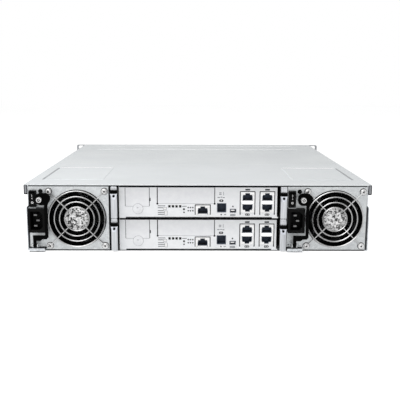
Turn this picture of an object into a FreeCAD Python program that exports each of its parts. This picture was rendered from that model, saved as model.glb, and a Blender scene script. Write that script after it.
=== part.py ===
import FreeCAD, Part
import math
import os
import re
import Sketcher

# 2U rack disk shelf enclosure, in millimetres.
# Frame: origin at the middle of the base, +X to the right seen from behind, +Y towards the drive
# bays at the front, +Z up.  Rear modules and the chassis are drawn with y = 0 on the rear edge of the
# chassis and then placed; drives are drawn with y = 0 on the front edge.

Vector = FreeCAD.Vector
Placement = FreeCAD.Placement
Rotation = FreeCAD.Rotation

BAY_COLUMNS = 4
BAY_ROWS = 3
FAN_BLADES = 7
FAN_CORNERS = 4

# ---------------------------------------------------------------- driving sizes

SIZES = {
    # chassis shell
    "chassis_width": 438.0,          # outside the upper side walls
    "chassis_height": 87.0,          # underside to the top of the covers
    "chassis_depth": 500.0,
    "sheet_steel": 1.0,
    "joggle_out": 2.5,               # lower part of each side wall stands out by this
    "joggle_level": 60.0,
    "joggle_rise": 3.0,
    "hook_reach": 8.0,               # lip on the floor that the power supply levers act on
    "hook_height": 4.6,
    "hook_width": 20.0,
    # covers
    "cover_width": 447.0,
    "cover_seam": 203.0,             # rear edge to the seam between the covers
    "seam_gap": 0.6,
    "seam_lap": 11.0,
    "cover_flange": 8.5,
    "cover_return": 4.5,
    "return_wall": 1.5,              # upright thickness of the slanted return
    "cover_ease": 0.3,               # return to side wall
    "cover_round": 0.8,
    "emboss_rise": 0.7,
    "emboss_slope": 60.0,            # degrees from upright
    "rear_emboss_width": 80.0,
    "rear_emboss_length": 117.0,
    "rear_emboss_middle": 166.0,
    "rear_emboss_start": 40.0,
    "front_emboss_width": 374.0,
    "front_emboss_length": 66.0,
    "front_emboss_inset": 30.0,      # from the front edge
    # rack ears
    "ear_sheet": 2.0,
    "ear_flange": 60.0,
    "ear_margin": 0.5,
    "ear_overlap": 1.0,
    "ear_corner": 3.0,
    "rack_hole_out": 11.05,          # side wall to the rack holes, which puts them 465.1 apart
    "rack_hole_edge": 8.45,          # rack holes to the ear's outer edge
    "rack_hole_pitch": 76.2,
    "rack_slot_length": 10.3,
    "rack_slot_width": 6.8,
    # inner sheet metal
    "canister_bay": 227.8,           # clear width between the two bay walls
    "cage_setback": 14.0,            # rear edge to the bay walls and the shelf
    "cage_sheet": 0.8,
    "cage_depth": 172.0,
    "cage_inset": 1.0,
    "ledge_width": 2.4,
    "slot_clearance": 0.55,
    "side_clearance": 0.3,
    # midplane
    "midplane_sheet": 3.0,
    "midplane_margin": 1.5,
    "vent_width": 9.0,
    "vent_offset": 39.0,
    "drive_socket_width": 44.0,
    "drive_socket_height": 6.0,
    "drive_socket_depth": 5.5,
    "module_socket_depth": 10.0,
    "module_socket_height": 8.0,
    "module_socket_width": 62.0,
    "module_socket_rise": 1.0,       # socket middle above the middle of the board
    "supply_socket_margin": 3.0,
    "module_end_gap": 2.0,
    "tongue_width": 56.0,
    "tongue_length": 8.0,
    "tongue_slot": 2.4,
    # power supply
    "casing_sheet": 0.8,
    "supply_tongue_width": 40.0,
    "supply_tongue_height": 4.0,
    "supply_tongue_left": 14.0,
    "fan_size": 80.0,
    "fan_depth": 25.0,
    "fan_bore": 38.3,
    "fan_hole_pitch": 71.5,
    "fan_hole": 2.15,
    "fan_corner": 4.0,
    "fan_side_gap": 0.1,
    "fan_opening": 38.0,
    "hub_radius": 16.0,
    "hub_plate": 3.5,
    "hub_inset": 0.8,
    "strut_width": 4.0,
    "rotor_gap": 1.2,
    "rotor_hub": 15.4,
    "rotor_tip": 37.0,
    "blade_sheet": 1.4,
    "blade_root_chord": 15.0,
    "blade_tip_chord": 20.0,
    "blade_root_pitch": 50.0,
    "blade_tip_pitch": 36.0,
    "guard_wire": 1.6,
    "guard_step": 1.3,
    "guard_loop": 3.2,
    "guard_ring_outer": 36.4,
    "guard_ring_middle": 29.2,
    "guard_ring_inner": 22.4,
    "guard_ring_hub": 15.6,
    "inlet_left": 0.3,
    "inlet_bottom": 24.2,
    "inlet_width": 21.5,
    "inlet_height": 31.4,
    "inlet_flange": 9.5,             # the inlet stands this proud of the face
    "inlet_depth": 30.0,
    "inlet_step": 0.9,
    "socket_width": 15.8,
    "socket_height": 24.2,
    "socket_depth": 16.0,
    "socket_chamfer": 4.2,
    "pin_width": 4.0,
    "pin_sheet": 2.0,
    "pin_pitch": 7.0,
    "pin_offset": 1.6,
    "pin_length": 13.5,
    "switch_left": 1.0,
    "switch_bottom": 57.3,
    "switch_width": 9.3,
    "switch_height": 20.7,
    "switch_rim": 0.9,
    "switch_wall": 0.6,
    "switch_proud": 5.0,
    "switch_depth": 8.0,
    "rocker_length": 15.9,
    "rocker_side_gap": 0.4,
    "rocker_pivot_depth": 4.2,       # behind the surround's front
    "rocker_proud": 1.0,
    "rocker_shoulder": 3.0,
    "rocker_dip": 1.2,
    "rocker_heel": 3.5,
    "rocker_tilt": 8.0,
    "lamp_left": 15.4,
    "lamp_height": 76.7,
    "lamp_radius": 2.6,
    "lamp_proud": 0.9,
    "cutout_clearance": 0.15,
    # power supply lever
    "lever_sheet": 1.5,
    "lever_standoff": 12.0,          # casing face to the lever's back
    "lever_arm_left": 22.4,
    "lever_arm_width": 4.0,
    "lever_head_width": 19.0,
    "lever_head_height": 15.8,
    "lever_head_left": 11.6,
    "lever_head_bottom": 60.8,
    "lever_head_round": 6.3,
    "lever_beak_low": 7.6,           # above the head's lower edge
    "lever_beak_high": 11.2,
    "lever_beak_slope": 5.0,
    "lever_foot_left": 6.8,
    "lever_foot_width": 4.0,
    "lever_bar_bottom": 14.4,
    "lever_bar_height": 7.2,
    "lever_step_left": 16.5,
    "lever_step_height": 2.2,
    "lever_bar_chamfer": 2.4,
    "lever_barrel_sunk": 0.7,
    "lever_pivot_height": 7.8,
    "lever_barrel": 2.4,
    "hinge_pin": 1.0,
    "hinge_fit": 0.05,
    "cheek_sheet": 1.0,
    "cheek_gap": 0.5,
    "cheek_round": 2.6,
    "screw_left": 17.8,
    "screw_height": 68.9,
    "screw_head": 3.6,
    "screw_head_length": 8.0,
    "screw_head_gap": 0.6,
    "screw_shank": 1.6,
    "screw_shank_gap": 1.0,
    "screw_edge": 0.7,
    "screw_hole": 2.0,
    # controller canister
    "faceplate_width": 203.6,
    "pocket_depth": 24.0,            # the face is set back beside the faceplate, behind the handles
    "canister_sheet": 1.0,
    "board_sheet": 1.6,
    "board_lift": 1.2,
    "board_margin": 2.0,
    "panel_seam": 0.6,               # gap at both sides of each flush panel
    "panel_hairline": 0.15,
    "battery_left": 8.3,
    "battery_bottom": 14.8,
    "battery_width": 30.5,
    "battery_length": 120.0,
    "battery_lip": 1.6,
    "plate_sheet": 1.0,
    "battery_tab": 6.4,
    "battery_tab_proud": 0.8,
    "battery_knob": 2.8,
    "battery_knob_proud": 1.4,
    "battery_screw_left": 24.2,
    "battery_screw_height": 11.6,
    "slot_left": 49.6,
    "slot_bottom": 18.3,
    "slot_width": 73.2,
    "slot_lip": 2.0,
    "jack_width": 17.8,
    "jack_height": 27.0,
    "jack_bottom": 6.6,
    "jack_first_left": 156.6,
    "jack_second_left": 182.0,
    "jack_depth": 24.0,
    "jack_proud": 0.4,
    "jack_bore_width": 11.8,
    "jack_bore_height": 7.4,
    "jack_notch_width": 6.0,
    "jack_notch_height": 2.2,
    "jack_bore_depth": 14.0,
    "jack_bore_margin": 1.4,
    "service_left": 98.6,
    "service_width": 18.4,
    "service_height": 12.4,
    "expansion_left": 126.3,
    "expansion_bottom": 7.1,
    "expansion_width": 11.7,
    "expansion_height": 11.7,
    "shell_wall": 0.6,
    "console_left": 143.0,
    "console_bottom": 6.8,
    "console_width": 7.8,
    "console_height": 4.6,
    # controller handles
    "handle_width": 7.7,
    "left_handle_middle": 107.4,
    "right_handle_middle": 109.4,
    "handle_sheet": 1.2,
    "handle_depth": 8.4,
    "handle_back": 0.6,
    "handle_end": 0.6,
    "handle_pivot_height": 4.5,
    "handle_pivot_out": 4.5,
    "handle_lug": 3.0,
    "handle_lug_round": 2.5,
    "left_collar_level": 33.0,       # underside of the black collar above the canister's base
    "right_collar_level": 30.0,
    "collar_height": 4.4,
    "collar_wall": 0.9,
    "collar_reach": 3.6,
    "collar_round": 3.4,
    "collar_fit": 0.05,
    "strap_sheet": 1.2,
    "strap_drop": 7.6,
    "strap_top": 9.0,
    "strap_foot": 4.8,
    "strap_hole": 1.6,
    "strap_hole_drop": 3.2,
    # drives
    "disk_width": 101.6,
    "disk_height": 26.1,
    "disk_length": 147.0,
    "bezel_depth": 20.0,
    "rail_sheet": 1.4,
    "rail_height": 18.0,
    "carrier_clearance": 0.3,
    "latch_length": 78.0,
    "latch_height": 11.0,
    "latch_sheet": 3.4,
    "latch_gap": 0.5,
    "latch_recess": 7.0,
    "latch_inset": 6.0,
    "latch_barrel": 2.2,
    "latch_pin": 1.1,
    "latch_pin_reach": 1.6,
    "latch_pin_end": 0.15,           # pin end to the bottom of its hole
    "latch_lip": 5.0,
    "grille_slot_height": 3.0,
    "grille_margin": 4.0,
    "grille_depth": 12.0,
}

# ---------------------------------------------------------------- sizes that follow from them

PLACES = {
    "rear_edge": "-chassis_depth / 2",
    "front_edge": "chassis_depth / 2",
    "wall_high": "chassis_width / 2",
    "wall_low": "wall_high + joggle_out",
    "wall_inside": "wall_high - sheet_steel",
    "rack_hole_middle": "wall_low + rack_hole_out",
    "ear_reach": "rack_hole_middle + rack_hole_edge",
    "cover_under": "chassis_height - sheet_steel",
    "lap_under": "cover_under - sheet_steel",
    "cover_half": "cover_width / 2",
    "cover_tip": "wall_high + cover_ease",
    "flange_end": "chassis_height - cover_flange",
    "return_end": "flange_end - cover_return",
    "module_bottom": "sheet_steel + slot_clearance",
    "supply_height": "lap_under - sheet_steel - 2 * slot_clearance",
    "canister_height": "(lap_under - 2 * sheet_steel) / 2 - 2 * slot_clearance",
    "shelf_level": "module_bottom + canister_height + slot_clearance",
    "upper_bottom": "shelf_level + sheet_steel + slot_clearance",
    "bay_wall_inside": "canister_bay / 2",
    "bay_wall_outside": "bay_wall_inside + sheet_steel",
    "supply_left_x": "-(wall_inside - side_clearance)",
    "supply_right_x": "bay_wall_outside + side_clearance",
    "supply_width": "wall_inside - bay_wall_outside - 2 * side_clearance",
    "midplane_front": "chassis_depth - bezel_depth - disk_length - drive_socket_depth - module_end_gap",
    "midplane_rear": "midplane_front - midplane_sheet",
    "midplane_half": "wall_inside - midplane_margin",
    "module_length": "midplane_rear - module_socket_depth - module_end_gap",
    "cage_half": "wall_inside - side_clearance",
    "cage_floor": "sheet_steel + cage_sheet",
    "bay_pitch": f"(2 * cage_half - cage_sheet) / {BAY_COLUMNS}",
    "row_pitch": f"(cover_under - cage_floor) / {BAY_ROWS}",
    "carrier_width": "bay_pitch - cage_sheet - 2 * carrier_clearance",
    "carrier_height": "row_pitch - cage_sheet - 2 * carrier_clearance",
    "fan_x": "supply_width - casing_sheet - fan_side_gap - fan_size / 2",
    "fan_z": "casing_sheet + fan_side_gap + fan_size / 2",
    "lever_pivot_out": "lever_standoff + lever_barrel_sunk - lever_barrel",
    "guard_ring_out": "guard_wire / 2 + 2 * guard_step",
    "guard_wire_start": "guard_ring_hub - guard_wire / 4",
    "guard_spoke_out": "guard_wire / 2 + guard_step",
    "switch_x": "switch_left + switch_width / 2",
    "switch_z": "switch_bottom + switch_height / 2",
    "canister_half": "bay_wall_inside - side_clearance",
    "faceplate_half": "faceplate_width / 2",
    "panel_top": "canister_height - canister_sheet",
    "board_top": "canister_sheet + board_lift + board_sheet",
    "latch_bottom": "(carrier_height - latch_height) / 2",
    "latch_pivot_x": "latch_inset + latch_barrel",
}

doc = FreeCAD.newDocument("disk_shelf_enclosure")
NAME = re.compile(r"[a-z][a-z0-9_]*")
NODES = []
CUTS = []


def formula(text):
    """Point every size name in a formula at its cell."""
    def cell(match):
        word = match.group()
        if word in SIZES:
            return f"Sizes.{word}"
        return f"Places.{word}" if word in PLACES else word
    return NAME.sub(cell, str(text))


def fill_sheets():
    sizes = doc.addObject("Spreadsheet::Sheet", "Sizes")
    for row, (alias, value) in enumerate(SIZES.items(), 1):
        sizes.set(f"A{row}", alias)
        sizes.set(f"B{row}", str(value))
        sizes.setAlias(f"B{row}", alias)
    places = doc.addObject("Spreadsheet::Sheet", "Places")
    for row, (alias, text) in enumerate(PLACES.items(), 1):
        places.set(f"A{row}", alias)
        places.set(f"B{row}", "=" + formula(text))
        places.setAlias(f"B{row}", alias)
    doc.recompute()


def size(name):
    """The value of one size, for shapes made by Part's own functions."""
    sheet = doc.getObject("Sizes" if name in SIZES else "Places")
    return float(sheet.get(name))


# ---------------------------------------------------------------- drawing helpers

def bind(obj, prop, text):
    obj.setExpression(prop, formula(text))


def place(obj, x="0", y="0", z="0"):
    for letter, text in zip("xyz", (x, y, z)):
        bind(obj, f"Placement.Base.{letter}", text)
    return obj


def node(obj, label):
    obj.Label = label
    NODES.append(obj)
    return obj


def new_body(name):
    return doc.addObject("PartDesign::Body", name)


def origin_plane(body, plane):
    role = f"{plane}_Plane"
    return next(item for item in body.Origin.OriginFeatures if item.Role == role)


def polygon(sketch, points):
    """A closed outline whose corners are each bound to a pair of formulas."""
    count = len(points)
    first = sketch.GeometryCount
    ring = [Vector(math.cos(2 * math.pi * i / count), math.sin(2 * math.pi * i / count)) * 50
            for i in range(count)]
    for i in range(count):
        sketch.addGeometry(Part.LineSegment(ring[i], ring[(i + 1) % count]))
    for i in range(count):
        follower = first + (i + 1) % count
        sketch.addConstraint(Sketcher.Constraint("Coincident", first + i, 2, follower, 1))
    for i, pair in enumerate(points):
        for kind, text, start in zip(("DistanceX", "DistanceY"), pair, ring[i]):
            index = sketch.addConstraint(Sketcher.Constraint(kind, -1, 1, first + i, 1, start))
            sketch.setExpression(f"Constraints[{index}]", formula(text))


def circle(sketch, x, y, radius):
    index = sketch.addGeometry(Part.Circle(Vector(1, 1, 0), Vector(0, 0, 1), 2.0))
    for kind, text, start in (("DistanceX", x, 1.0), ("DistanceY", y, 1.0)):
        number = sketch.addConstraint(Sketcher.Constraint(kind, -1, 1, index, 3, start))
        sketch.setExpression(f"Constraints[{number}]", formula(text))
    number = sketch.addConstraint(Sketcher.Constraint("Radius", index, 2.0))
    sketch.setExpression(f"Constraints[{number}]", formula(radius))


def new_sketch(body, plane, outlines, start="0", turn=0):
    """Outlines on one of the body's planes, at a distance start along the plane's own axis."""
    sketch = body.newObject("Sketcher::SketchObject", "Outline")
    sketch.AttachmentSupport = [(origin_plane(body, plane), "")]
    sketch.MapMode = "FlatFace"
    sketch.AttachmentOffset = Placement(Vector(), Rotation(Vector(0, 0, 1), turn))
    sign = "-" if plane == "XZ" else ""
    bind(sketch, "AttachmentOffset.Base.z", f"{sign}({start})")
    for outline in outlines:
        if len(outline) == 3 and isinstance(outline[0], str):
            circle(sketch, *outline)
        else:
            polygon(sketch, outline)
    return sketch


def pad(body, plane, outlines, start, end, turn=0, slope=None):
    """Add material between two levels, along +Y for the XZ plane, +Z for XY and +X for YZ."""
    feature = body.newObject("PartDesign::Pad", "Pad")
    feature.Profile = new_sketch(body, plane, outlines, start, turn)
    bind(feature, "Length", f"({end}) - ({start})")
    feature.Reversed = plane == "XZ"
    if slope:
        bind(feature, "TaperAngle", f"-1 * {slope}")
    body.Tip = feature
    return feature


def pocket(body, plane, outlines, start, end, turn=0):
    """Take material away between two levels, along the same directions as pad."""
    feature = body.newObject("PartDesign::Pocket", "Pocket")
    feature.Profile = new_sketch(body, plane, outlines, start, turn)
    bind(feature, "Length", f"({end}) - ({start})")
    feature.Reversed = plane != "XZ"
    body.Tip = feature
    CUTS.append(feature)
    return feature


def row_of(body, feature, axis, length, count):
    """Repeat a feature along the first (H) or second (V) axis of its sketch."""
    pattern = body.newObject("PartDesign::LinearPattern", "Row")
    pattern.Originals = [feature]
    pattern.Direction = (feature.Profile[0], [f"{axis}_Axis"])
    bind(pattern, "Length", length)
    pattern.Occurrences = count
    body.Tip = pattern
    return pattern


def ring_of(body, feature, count):
    """Repeat a feature about the line through the origin, square to its sketch."""
    pattern = body.newObject("PartDesign::PolarPattern", "Ring")
    pattern.Originals = [feature]
    pattern.Axis = (feature.Profile[0], ["N_Axis"])
    pattern.Angle = 360
    pattern.Occurrences = count
    body.Tip = pattern
    return pattern


def turned(body, outline):
    """Revolve an outline, given as distances from and along the Y axis, about that axis."""
    feature = body.newObject("PartDesign::Revolution", "Turned")
    feature.Profile = new_sketch(body, "XY", [outline])
    feature.ReferenceAxis = (feature.Profile[0], ["V_Axis"])
    feature.Angle = 360
    body.Tip = feature
    return feature


def round_edges(body, radius, chosen):
    """Fillet the edges of the body so far that a test picks."""
    doc.recompute()
    base = body.Tip
    bound = base.Shape.BoundBox
    names = [f"Edge{i}" for i, edge in enumerate(base.Shape.Edges, 1) if chosen(edge, bound)]
    if not names:
        raise RuntimeError(f"{body.Name}: no edge to round")
    fillet = body.newObject("PartDesign::Fillet", "Fillet")
    fillet.Base = (base, names)
    bind(fillet, "Radius", radius)
    body.Tip = fillet
    return fillet


def runs_along(edge, axis):
    """True for a straight edge along one axis."""
    if not isinstance(edge.Curve, Part.Line):
        return False
    direction = edge.Curve.Direction
    return abs(getattr(direction, axis)) > 0.999


def near(value, target):
    return abs(value - target) < 1e-4


def rectangle(x0, y0, x1, y1):
    return [(x0, y0), (x1, y0), (x1, y1), (x0, y1)]


def mirrored(half):
    """An outline that is the same on both sides of the middle, from its right half."""
    return half + [(f"-({x})", y) for x, y in reversed(half)]


def box(name, x, y, z, length, width, height):
    obj = doc.addObject("Part::Box", name)
    for prop, text in zip(("Length", "Width", "Height"), (length, width, height)):
        bind(obj, prop, text)
    return place(obj, x, y, z)


def rod(name, x, y, z, radius, length, axis="Y"):
    """A cylinder that starts at a point and runs along +X, +Y or +Z."""
    obj = doc.addObject("Part::Cylinder", name)
    turns = {"X": Rotation(Vector(0, 1, 0), 90), "Y": Rotation(Vector(1, 0, 0), -90), "Z": Rotation()}
    obj.Placement = Placement(Vector(), turns[axis])
    bind(obj, "Radius", radius)
    bind(obj, "Height", length)
    return place(obj, x, y, z)


def fuse(name, parts):
    obj = doc.addObject("Part::MultiFuse", name)
    obj.Shapes = parts
    return obj


def cut(name, base, tool):
    obj = doc.addObject("Part::Cut", name)
    obj.Base = base
    obj.Tool = tool
    return obj


def group(name, parts):
    """Separate solids that make one node."""
    obj = doc.addObject("Part::Compound", name)
    obj.Links = parts
    return obj


# ---------------------------------------------------------------- chassis

def chassis_tray():
    body = new_body("ChassisTray")
    half = [("wall_low", "0"), ("wall_low", "joggle_level - joggle_rise"), ("wall_high", "joggle_level"),
            ("wall_high", "cover_under"), ("wall_inside", "cover_under"),
            ("wall_inside", "joggle_level"), ("wall_low - sheet_steel", "joggle_level - joggle_rise"),
            ("wall_low - sheet_steel", "sheet_steel")]
    pad(body, "XZ", [mirrored(half)], "0", "chassis_depth")
    lip = [("0", "0"), ("0", "sheet_steel"), ("sheet_steel - hook_reach", "sheet_steel"),
           ("sheet_steel - hook_reach", "hook_height"), ("-hook_reach", "hook_height"),
           ("-hook_reach", "0")]
    for side in ("supply_left_x", "supply_right_x"):
        pad(body, "YZ", [lip], side, f"{side} + hook_width")
    place(body, y="rear_edge")
    return node(body, "chassis_tray")


def cover_outline():
    half = [("cover_half", "chassis_height"), ("cover_half", "flange_end"), ("cover_tip", "return_end"),
            ("cover_tip", "return_end + return_wall"),
            ("cover_half - sheet_steel", "flange_end + return_wall - sheet_steel"),
            ("cover_half - sheet_steel", "cover_under")]
    return mirrored(half)


def rear_cover():
    body = new_body("RearCover")
    pad(body, "XZ", [cover_outline()], "0", "cover_seam - seam_gap / 2")
    round_edges(body, "cover_round", lambda edge, bound: runs_along(edge, "x")
                and near(edge.CenterOfMass.z, bound.ZMax) and near(edge.CenterOfMass.y, bound.YMin))
    for side in ("-1", "1"):
        middle = f"{side} * rear_emboss_middle"
        panel = rectangle(f"{middle} - rear_emboss_width / 2", "rear_emboss_start",
                          f"{middle} + rear_emboss_width / 2", "rear_emboss_start + rear_emboss_length")
        pad(body, "XY", [panel], "chassis_height", "chassis_height + emboss_rise", slope="emboss_slope")
    place(body, y="rear_edge")
    return node(body, "rear_cover")


def front_cover():
    body = new_body("FrontCover")
    pad(body, "XZ", [cover_outline()], "cover_seam + seam_gap / 2", "chassis_depth")
    lap = rectangle("-(wall_inside - side_clearance)", "cover_seam - seam_lap",
                    "wall_inside - side_clearance", "cover_seam + seam_lap")
    pad(body, "XY", [lap], "lap_under", "cover_under")
    panel = rectangle("-front_emboss_width / 2", "chassis_depth - front_emboss_inset - front_emboss_length",
                      "front_emboss_width / 2", "chassis_depth - front_emboss_inset")
    pad(body, "XY", [panel], "chassis_height", "chassis_height + emboss_rise", slope="emboss_slope")
    place(body, y="rear_edge")
    return node(body, "front_cover")


def rack_slot(name, side, level):
    """A cutter for one obround rack hole."""
    middle = f"{side} * rack_hole_middle"
    straight = "(rack_slot_length - rack_slot_width) / 2"
    start = "chassis_depth - ear_sheet"
    deep = "3 * ear_sheet"
    flat = box(f"{name}Flat", f"{middle} - {straight}", start, f"{level} - rack_slot_width / 2",
               f"2 * {straight}", deep, "rack_slot_width")
    ends = [rod(f"{name}End", f"{middle} {sign} {straight}", start, level, "rack_slot_width / 2", deep)
            for sign in "+-"]
    return fuse(name, [flat] + ends)


def rack_ear(label, side):
    """Front plate with two rack holes, and a flange riveted to the lower side wall."""
    body = new_body(f"Ear{label}")
    plate = rectangle(f"{side} * (wall_inside - ear_overlap)", "ear_margin", f"{side} * ear_reach",
                      "chassis_height - ear_margin")
    pad(body, "XZ", [plate], "chassis_depth", "chassis_depth + ear_sheet")
    flange = rectangle(f"{side} * wall_low", "sheet_steel", f"{side} * (wall_low + ear_sheet)",
                       "joggle_level - joggle_rise - sheet_steel")
    pad(body, "XZ", [flange], "chassis_depth - ear_flange", "chassis_depth")
    outer = max if side == "1" else min
    round_edges(body, "ear_corner", lambda edge, bound: runs_along(edge, "y")
                and near(edge.CenterOfMass.x, outer(bound.XMin, bound.XMax)))
    slots = [rack_slot(f"{label}Slot{sign}", side, f"(chassis_height / 2 {sign} rack_hole_pitch / 2)")
             for sign in "+-"]
    ear = cut(f"{label}EarCut", body, fuse(f"{label}Slots", slots))
    place(ear, y="rear_edge")
    return node(ear, label)


def divider_outline(middle):
    """One upright of the drive cage with a pair of ledges under each upper row."""
    half = [("cage_sheet / 2", "cage_floor")]
    for row in range(1, BAY_ROWS):
        level = f"cage_floor + {row} * row_pitch"
        half += [("cage_sheet / 2", f"{level} - cage_sheet"),
                 ("cage_sheet / 2 + ledge_width", f"{level} - cage_sheet"),
                 ("cage_sheet / 2 + ledge_width", level), ("cage_sheet / 2", level)]
    half.append(("cage_sheet / 2", "cover_under - side_clearance"))
    right = [(f"{middle} + {x}", z) for x, z in half]
    left = [(f"{middle} - ({x})", z) for x, z in reversed(half)]
    return right + left


def side_outline(side):
    """The end wall of the cage, with ledges on its inner face only."""
    def inward(distance):
        return f"{side} * (cage_half - ({distance}))"
    outline = [(inward("0"), "sheet_steel"), (inward("0"), "cover_under - side_clearance"),
               (inward("cage_sheet"), "cover_under - side_clearance")]
    for row in reversed(range(1, BAY_ROWS)):
        level = f"cage_floor + {row} * row_pitch"
        outline += [(inward("cage_sheet"), level), (inward("cage_sheet + ledge_width"), level),
                    (inward("cage_sheet + ledge_width"), f"{level} - cage_sheet"),
                    (inward("cage_sheet"), f"{level} - cage_sheet")]
    return outline + [(inward("cage_sheet"), "sheet_steel")]


def drive_cage():
    """Floor, end walls and dividers that hold the drive carriers."""
    body = new_body("DriveCage")
    start = "chassis_depth - cage_depth"
    end = "chassis_depth - cage_inset"
    pad(body, "XZ", [rectangle("-cage_half", "sheet_steel", "cage_half", "cage_floor")], start, end)
    for side in ("-1", "1"):
        pad(body, "XZ", [side_outline(side)], start, end)
    first = pad(body, "XZ", [divider_outline("-bay_pitch")], start, end)
    row_of(body, first, "H", f"bay_pitch * {BAY_COLUMNS - 2}", BAY_COLUMNS - 1)
    place(body, y="rear_edge")
    return node(body, "drive_cage")


def canister_cage():
    """Two bay walls and the shelf between the controllers, welded as one frame."""
    body = new_body("CanisterCage")
    for side in ("-1", "1"):
        wall = rectangle(f"{side} * bay_wall_inside", "sheet_steel", f"{side} * bay_wall_outside",
                         "lap_under - side_clearance")
        pad(body, "XZ", [wall], "cage_setback", "midplane_rear - module_end_gap")
        if side == "-1":
            shelf = rectangle("-bay_wall_inside", "shelf_level", "bay_wall_inside",
                              "shelf_level + sheet_steel")
            pad(body, "XZ", [shelf], "cage_setback",
                "midplane_rear - module_end_gap - module_socket_depth")
    place(body, y="rear_edge")
    return node(body, "canister_cage")


def bay_middle(column):
    return f"((cage_sheet - 2 * cage_half) / 2 + {column + 0.5} * bay_pitch)"


def midplane_board():
    """Board across the shelf: drive sockets in front, module sockets behind, vents between them."""
    body = new_body("Midplane")
    board = rectangle("-midplane_half", "sheet_steel + midplane_margin", "midplane_half",
                      "lap_under - midplane_margin")
    pad(body, "XZ", [board], "midplane_rear", "midplane_front")
    rows = [f"cage_floor + {row} * row_pitch" for row in range(BAY_ROWS)]
    middles = [bay_middle(column) for column in range(BAY_COLUMNS)]
    sockets = [rectangle(f"{middle} - drive_socket_width / 2", f"{level} + drive_socket_height",
                         f"{middle} + drive_socket_width / 2", f"{level} + 2 * drive_socket_height")
               for level in rows for middle in middles]
    pad(body, "XZ", sockets, "midplane_front", "midplane_front + drive_socket_depth")
    canisters = [f"{bottom} + board_top - board_sheet / 2" for bottom in ("module_bottom", "upper_bottom")]
    rise = "module_socket_rise"
    module_sockets = [rectangle("-module_socket_width / 2", f"{level} + {rise} - module_socket_height / 2",
                                "module_socket_width / 2", f"{level} + {rise} + module_socket_height / 2")
                      for level in canisters]
    slots = [rectangle("-tongue_width / 2 - slot_clearance", f"{level} - tongue_slot / 2",
                       "tongue_width / 2 + slot_clearance", f"{level} + tongue_slot / 2")
             for level in canisters]
    for side in ("supply_left_x", "supply_right_x"):
        left = f"({side} + supply_tongue_left)"
        level = "(module_bottom + supply_height / 2)"
        module_sockets.append(rectangle(f"{left} - supply_socket_margin", f"{level} - module_socket_height",
                                        f"{left} + supply_tongue_width + supply_socket_margin",
                                        f"{level} + module_socket_height"))
        slots.append(rectangle(f"{left} - slot_clearance",
                               f"{level} - supply_tongue_height / 2 - slot_clearance",
                               f"{left} + supply_tongue_width + slot_clearance",
                               f"{level} + supply_tongue_height / 2 + slot_clearance"))
    pad(body, "XZ", module_sockets, "midplane_rear - module_socket_depth", "midplane_rear")
    pocket(body, "XZ", slots, "midplane_rear - module_socket_depth", "midplane_rear")
    vents = [rectangle(f"{middle} + {sign} * vent_offset - vent_width / 2",
                       f"{level} + drive_socket_height",
                       f"{middle} + {sign} * vent_offset + vent_width / 2",
                       f"{level} + row_pitch - drive_socket_height")
             for level in rows for middle in middles for sign in (-1, 1)]
    pocket(body, "XZ", vents, "midplane_rear", "midplane_front")
    place(body, y="rear_edge")
    return node(body, "midplane_board")


# ---------------------------------------------------------------- power supply

def in_supply(obj, side, x="0", y="0", z="0"):
    """Put a piece drawn in a power supply's own frame into one of the two bays."""
    return place(obj, f"{side} + {x}", f"rear_edge + {y}", f"module_bottom + {z}")


def stepped_outline(inset):
    """The casing's section, set in from its skin: a step in one corner rides over the chassis lip."""
    step_x = f"hook_width + slot_clearance + {inset}"
    step_z = f"hook_height - module_bottom + slot_clearance + {inset}"
    right, top = f"supply_width - {inset}", f"supply_height - {inset}"
    return [(step_x, inset), (right, inset), (right, top), (inset, top), (inset, step_z), (step_x, step_z)]


def supply_casing(label, side):
    """Sheet box with the cut-outs of its rear face and the two cheeks that hold the lever."""
    body = new_body("Casing")
    pad(body, "XZ", [stepped_outline("0")], "0", "module_length")
    pocket(body, "XZ", [stepped_outline("casing_sheet")], "casing_sheet", "module_length - casing_sheet")
    ease = "cutout_clearance"
    inlet = rectangle(f"inlet_left + inlet_step - {ease}", f"inlet_bottom + inlet_step - {ease}",
                      f"inlet_left + inlet_width - inlet_step + {ease}",
                      f"inlet_bottom + inlet_height - inlet_step + {ease}")
    switch = rectangle(f"switch_left + switch_rim - {ease}", f"switch_bottom + switch_rim - {ease}",
                       f"switch_left + switch_width - switch_rim + {ease}",
                       f"switch_bottom + switch_height - switch_rim + {ease}")
    pocket(body, "XZ", [("fan_x", "fan_z", "fan_opening"), inlet, switch,
                        ("lamp_left", "lamp_height", f"lamp_radius - {ease}"),
                        ("screw_left", "screw_height", "screw_hole")], "0", "casing_sheet")
    for start in ("lever_foot_left - cheek_gap - cheek_sheet",
                  "lever_foot_left + lever_foot_width + cheek_gap"):
        arm = rectangle("-lever_pivot_out", "lever_pivot_height - cheek_round", "0",
                        "lever_pivot_height + cheek_round")
        pad(body, "YZ", [arm], start, f"{start} + cheek_sheet")
        pad(body, "YZ", [("-lever_pivot_out", "lever_pivot_height", "cheek_round")],
            start, f"{start} + cheek_sheet")
        pocket(body, "YZ", [("-lever_pivot_out", "lever_pivot_height", "hinge_pin + hinge_fit")],
               start, f"{start} + cheek_sheet")
    tongue = rectangle("supply_tongue_left", "(supply_height - supply_tongue_height) / 2",
                       "supply_tongue_left + supply_tongue_width",
                       "(supply_height + supply_tongue_height) / 2")
    pad(body, "XZ", [tongue], "module_length - casing_sheet", "module_length + tongue_length")
    in_supply(body, side)
    return node(body, f"{label}_casing")


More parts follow.
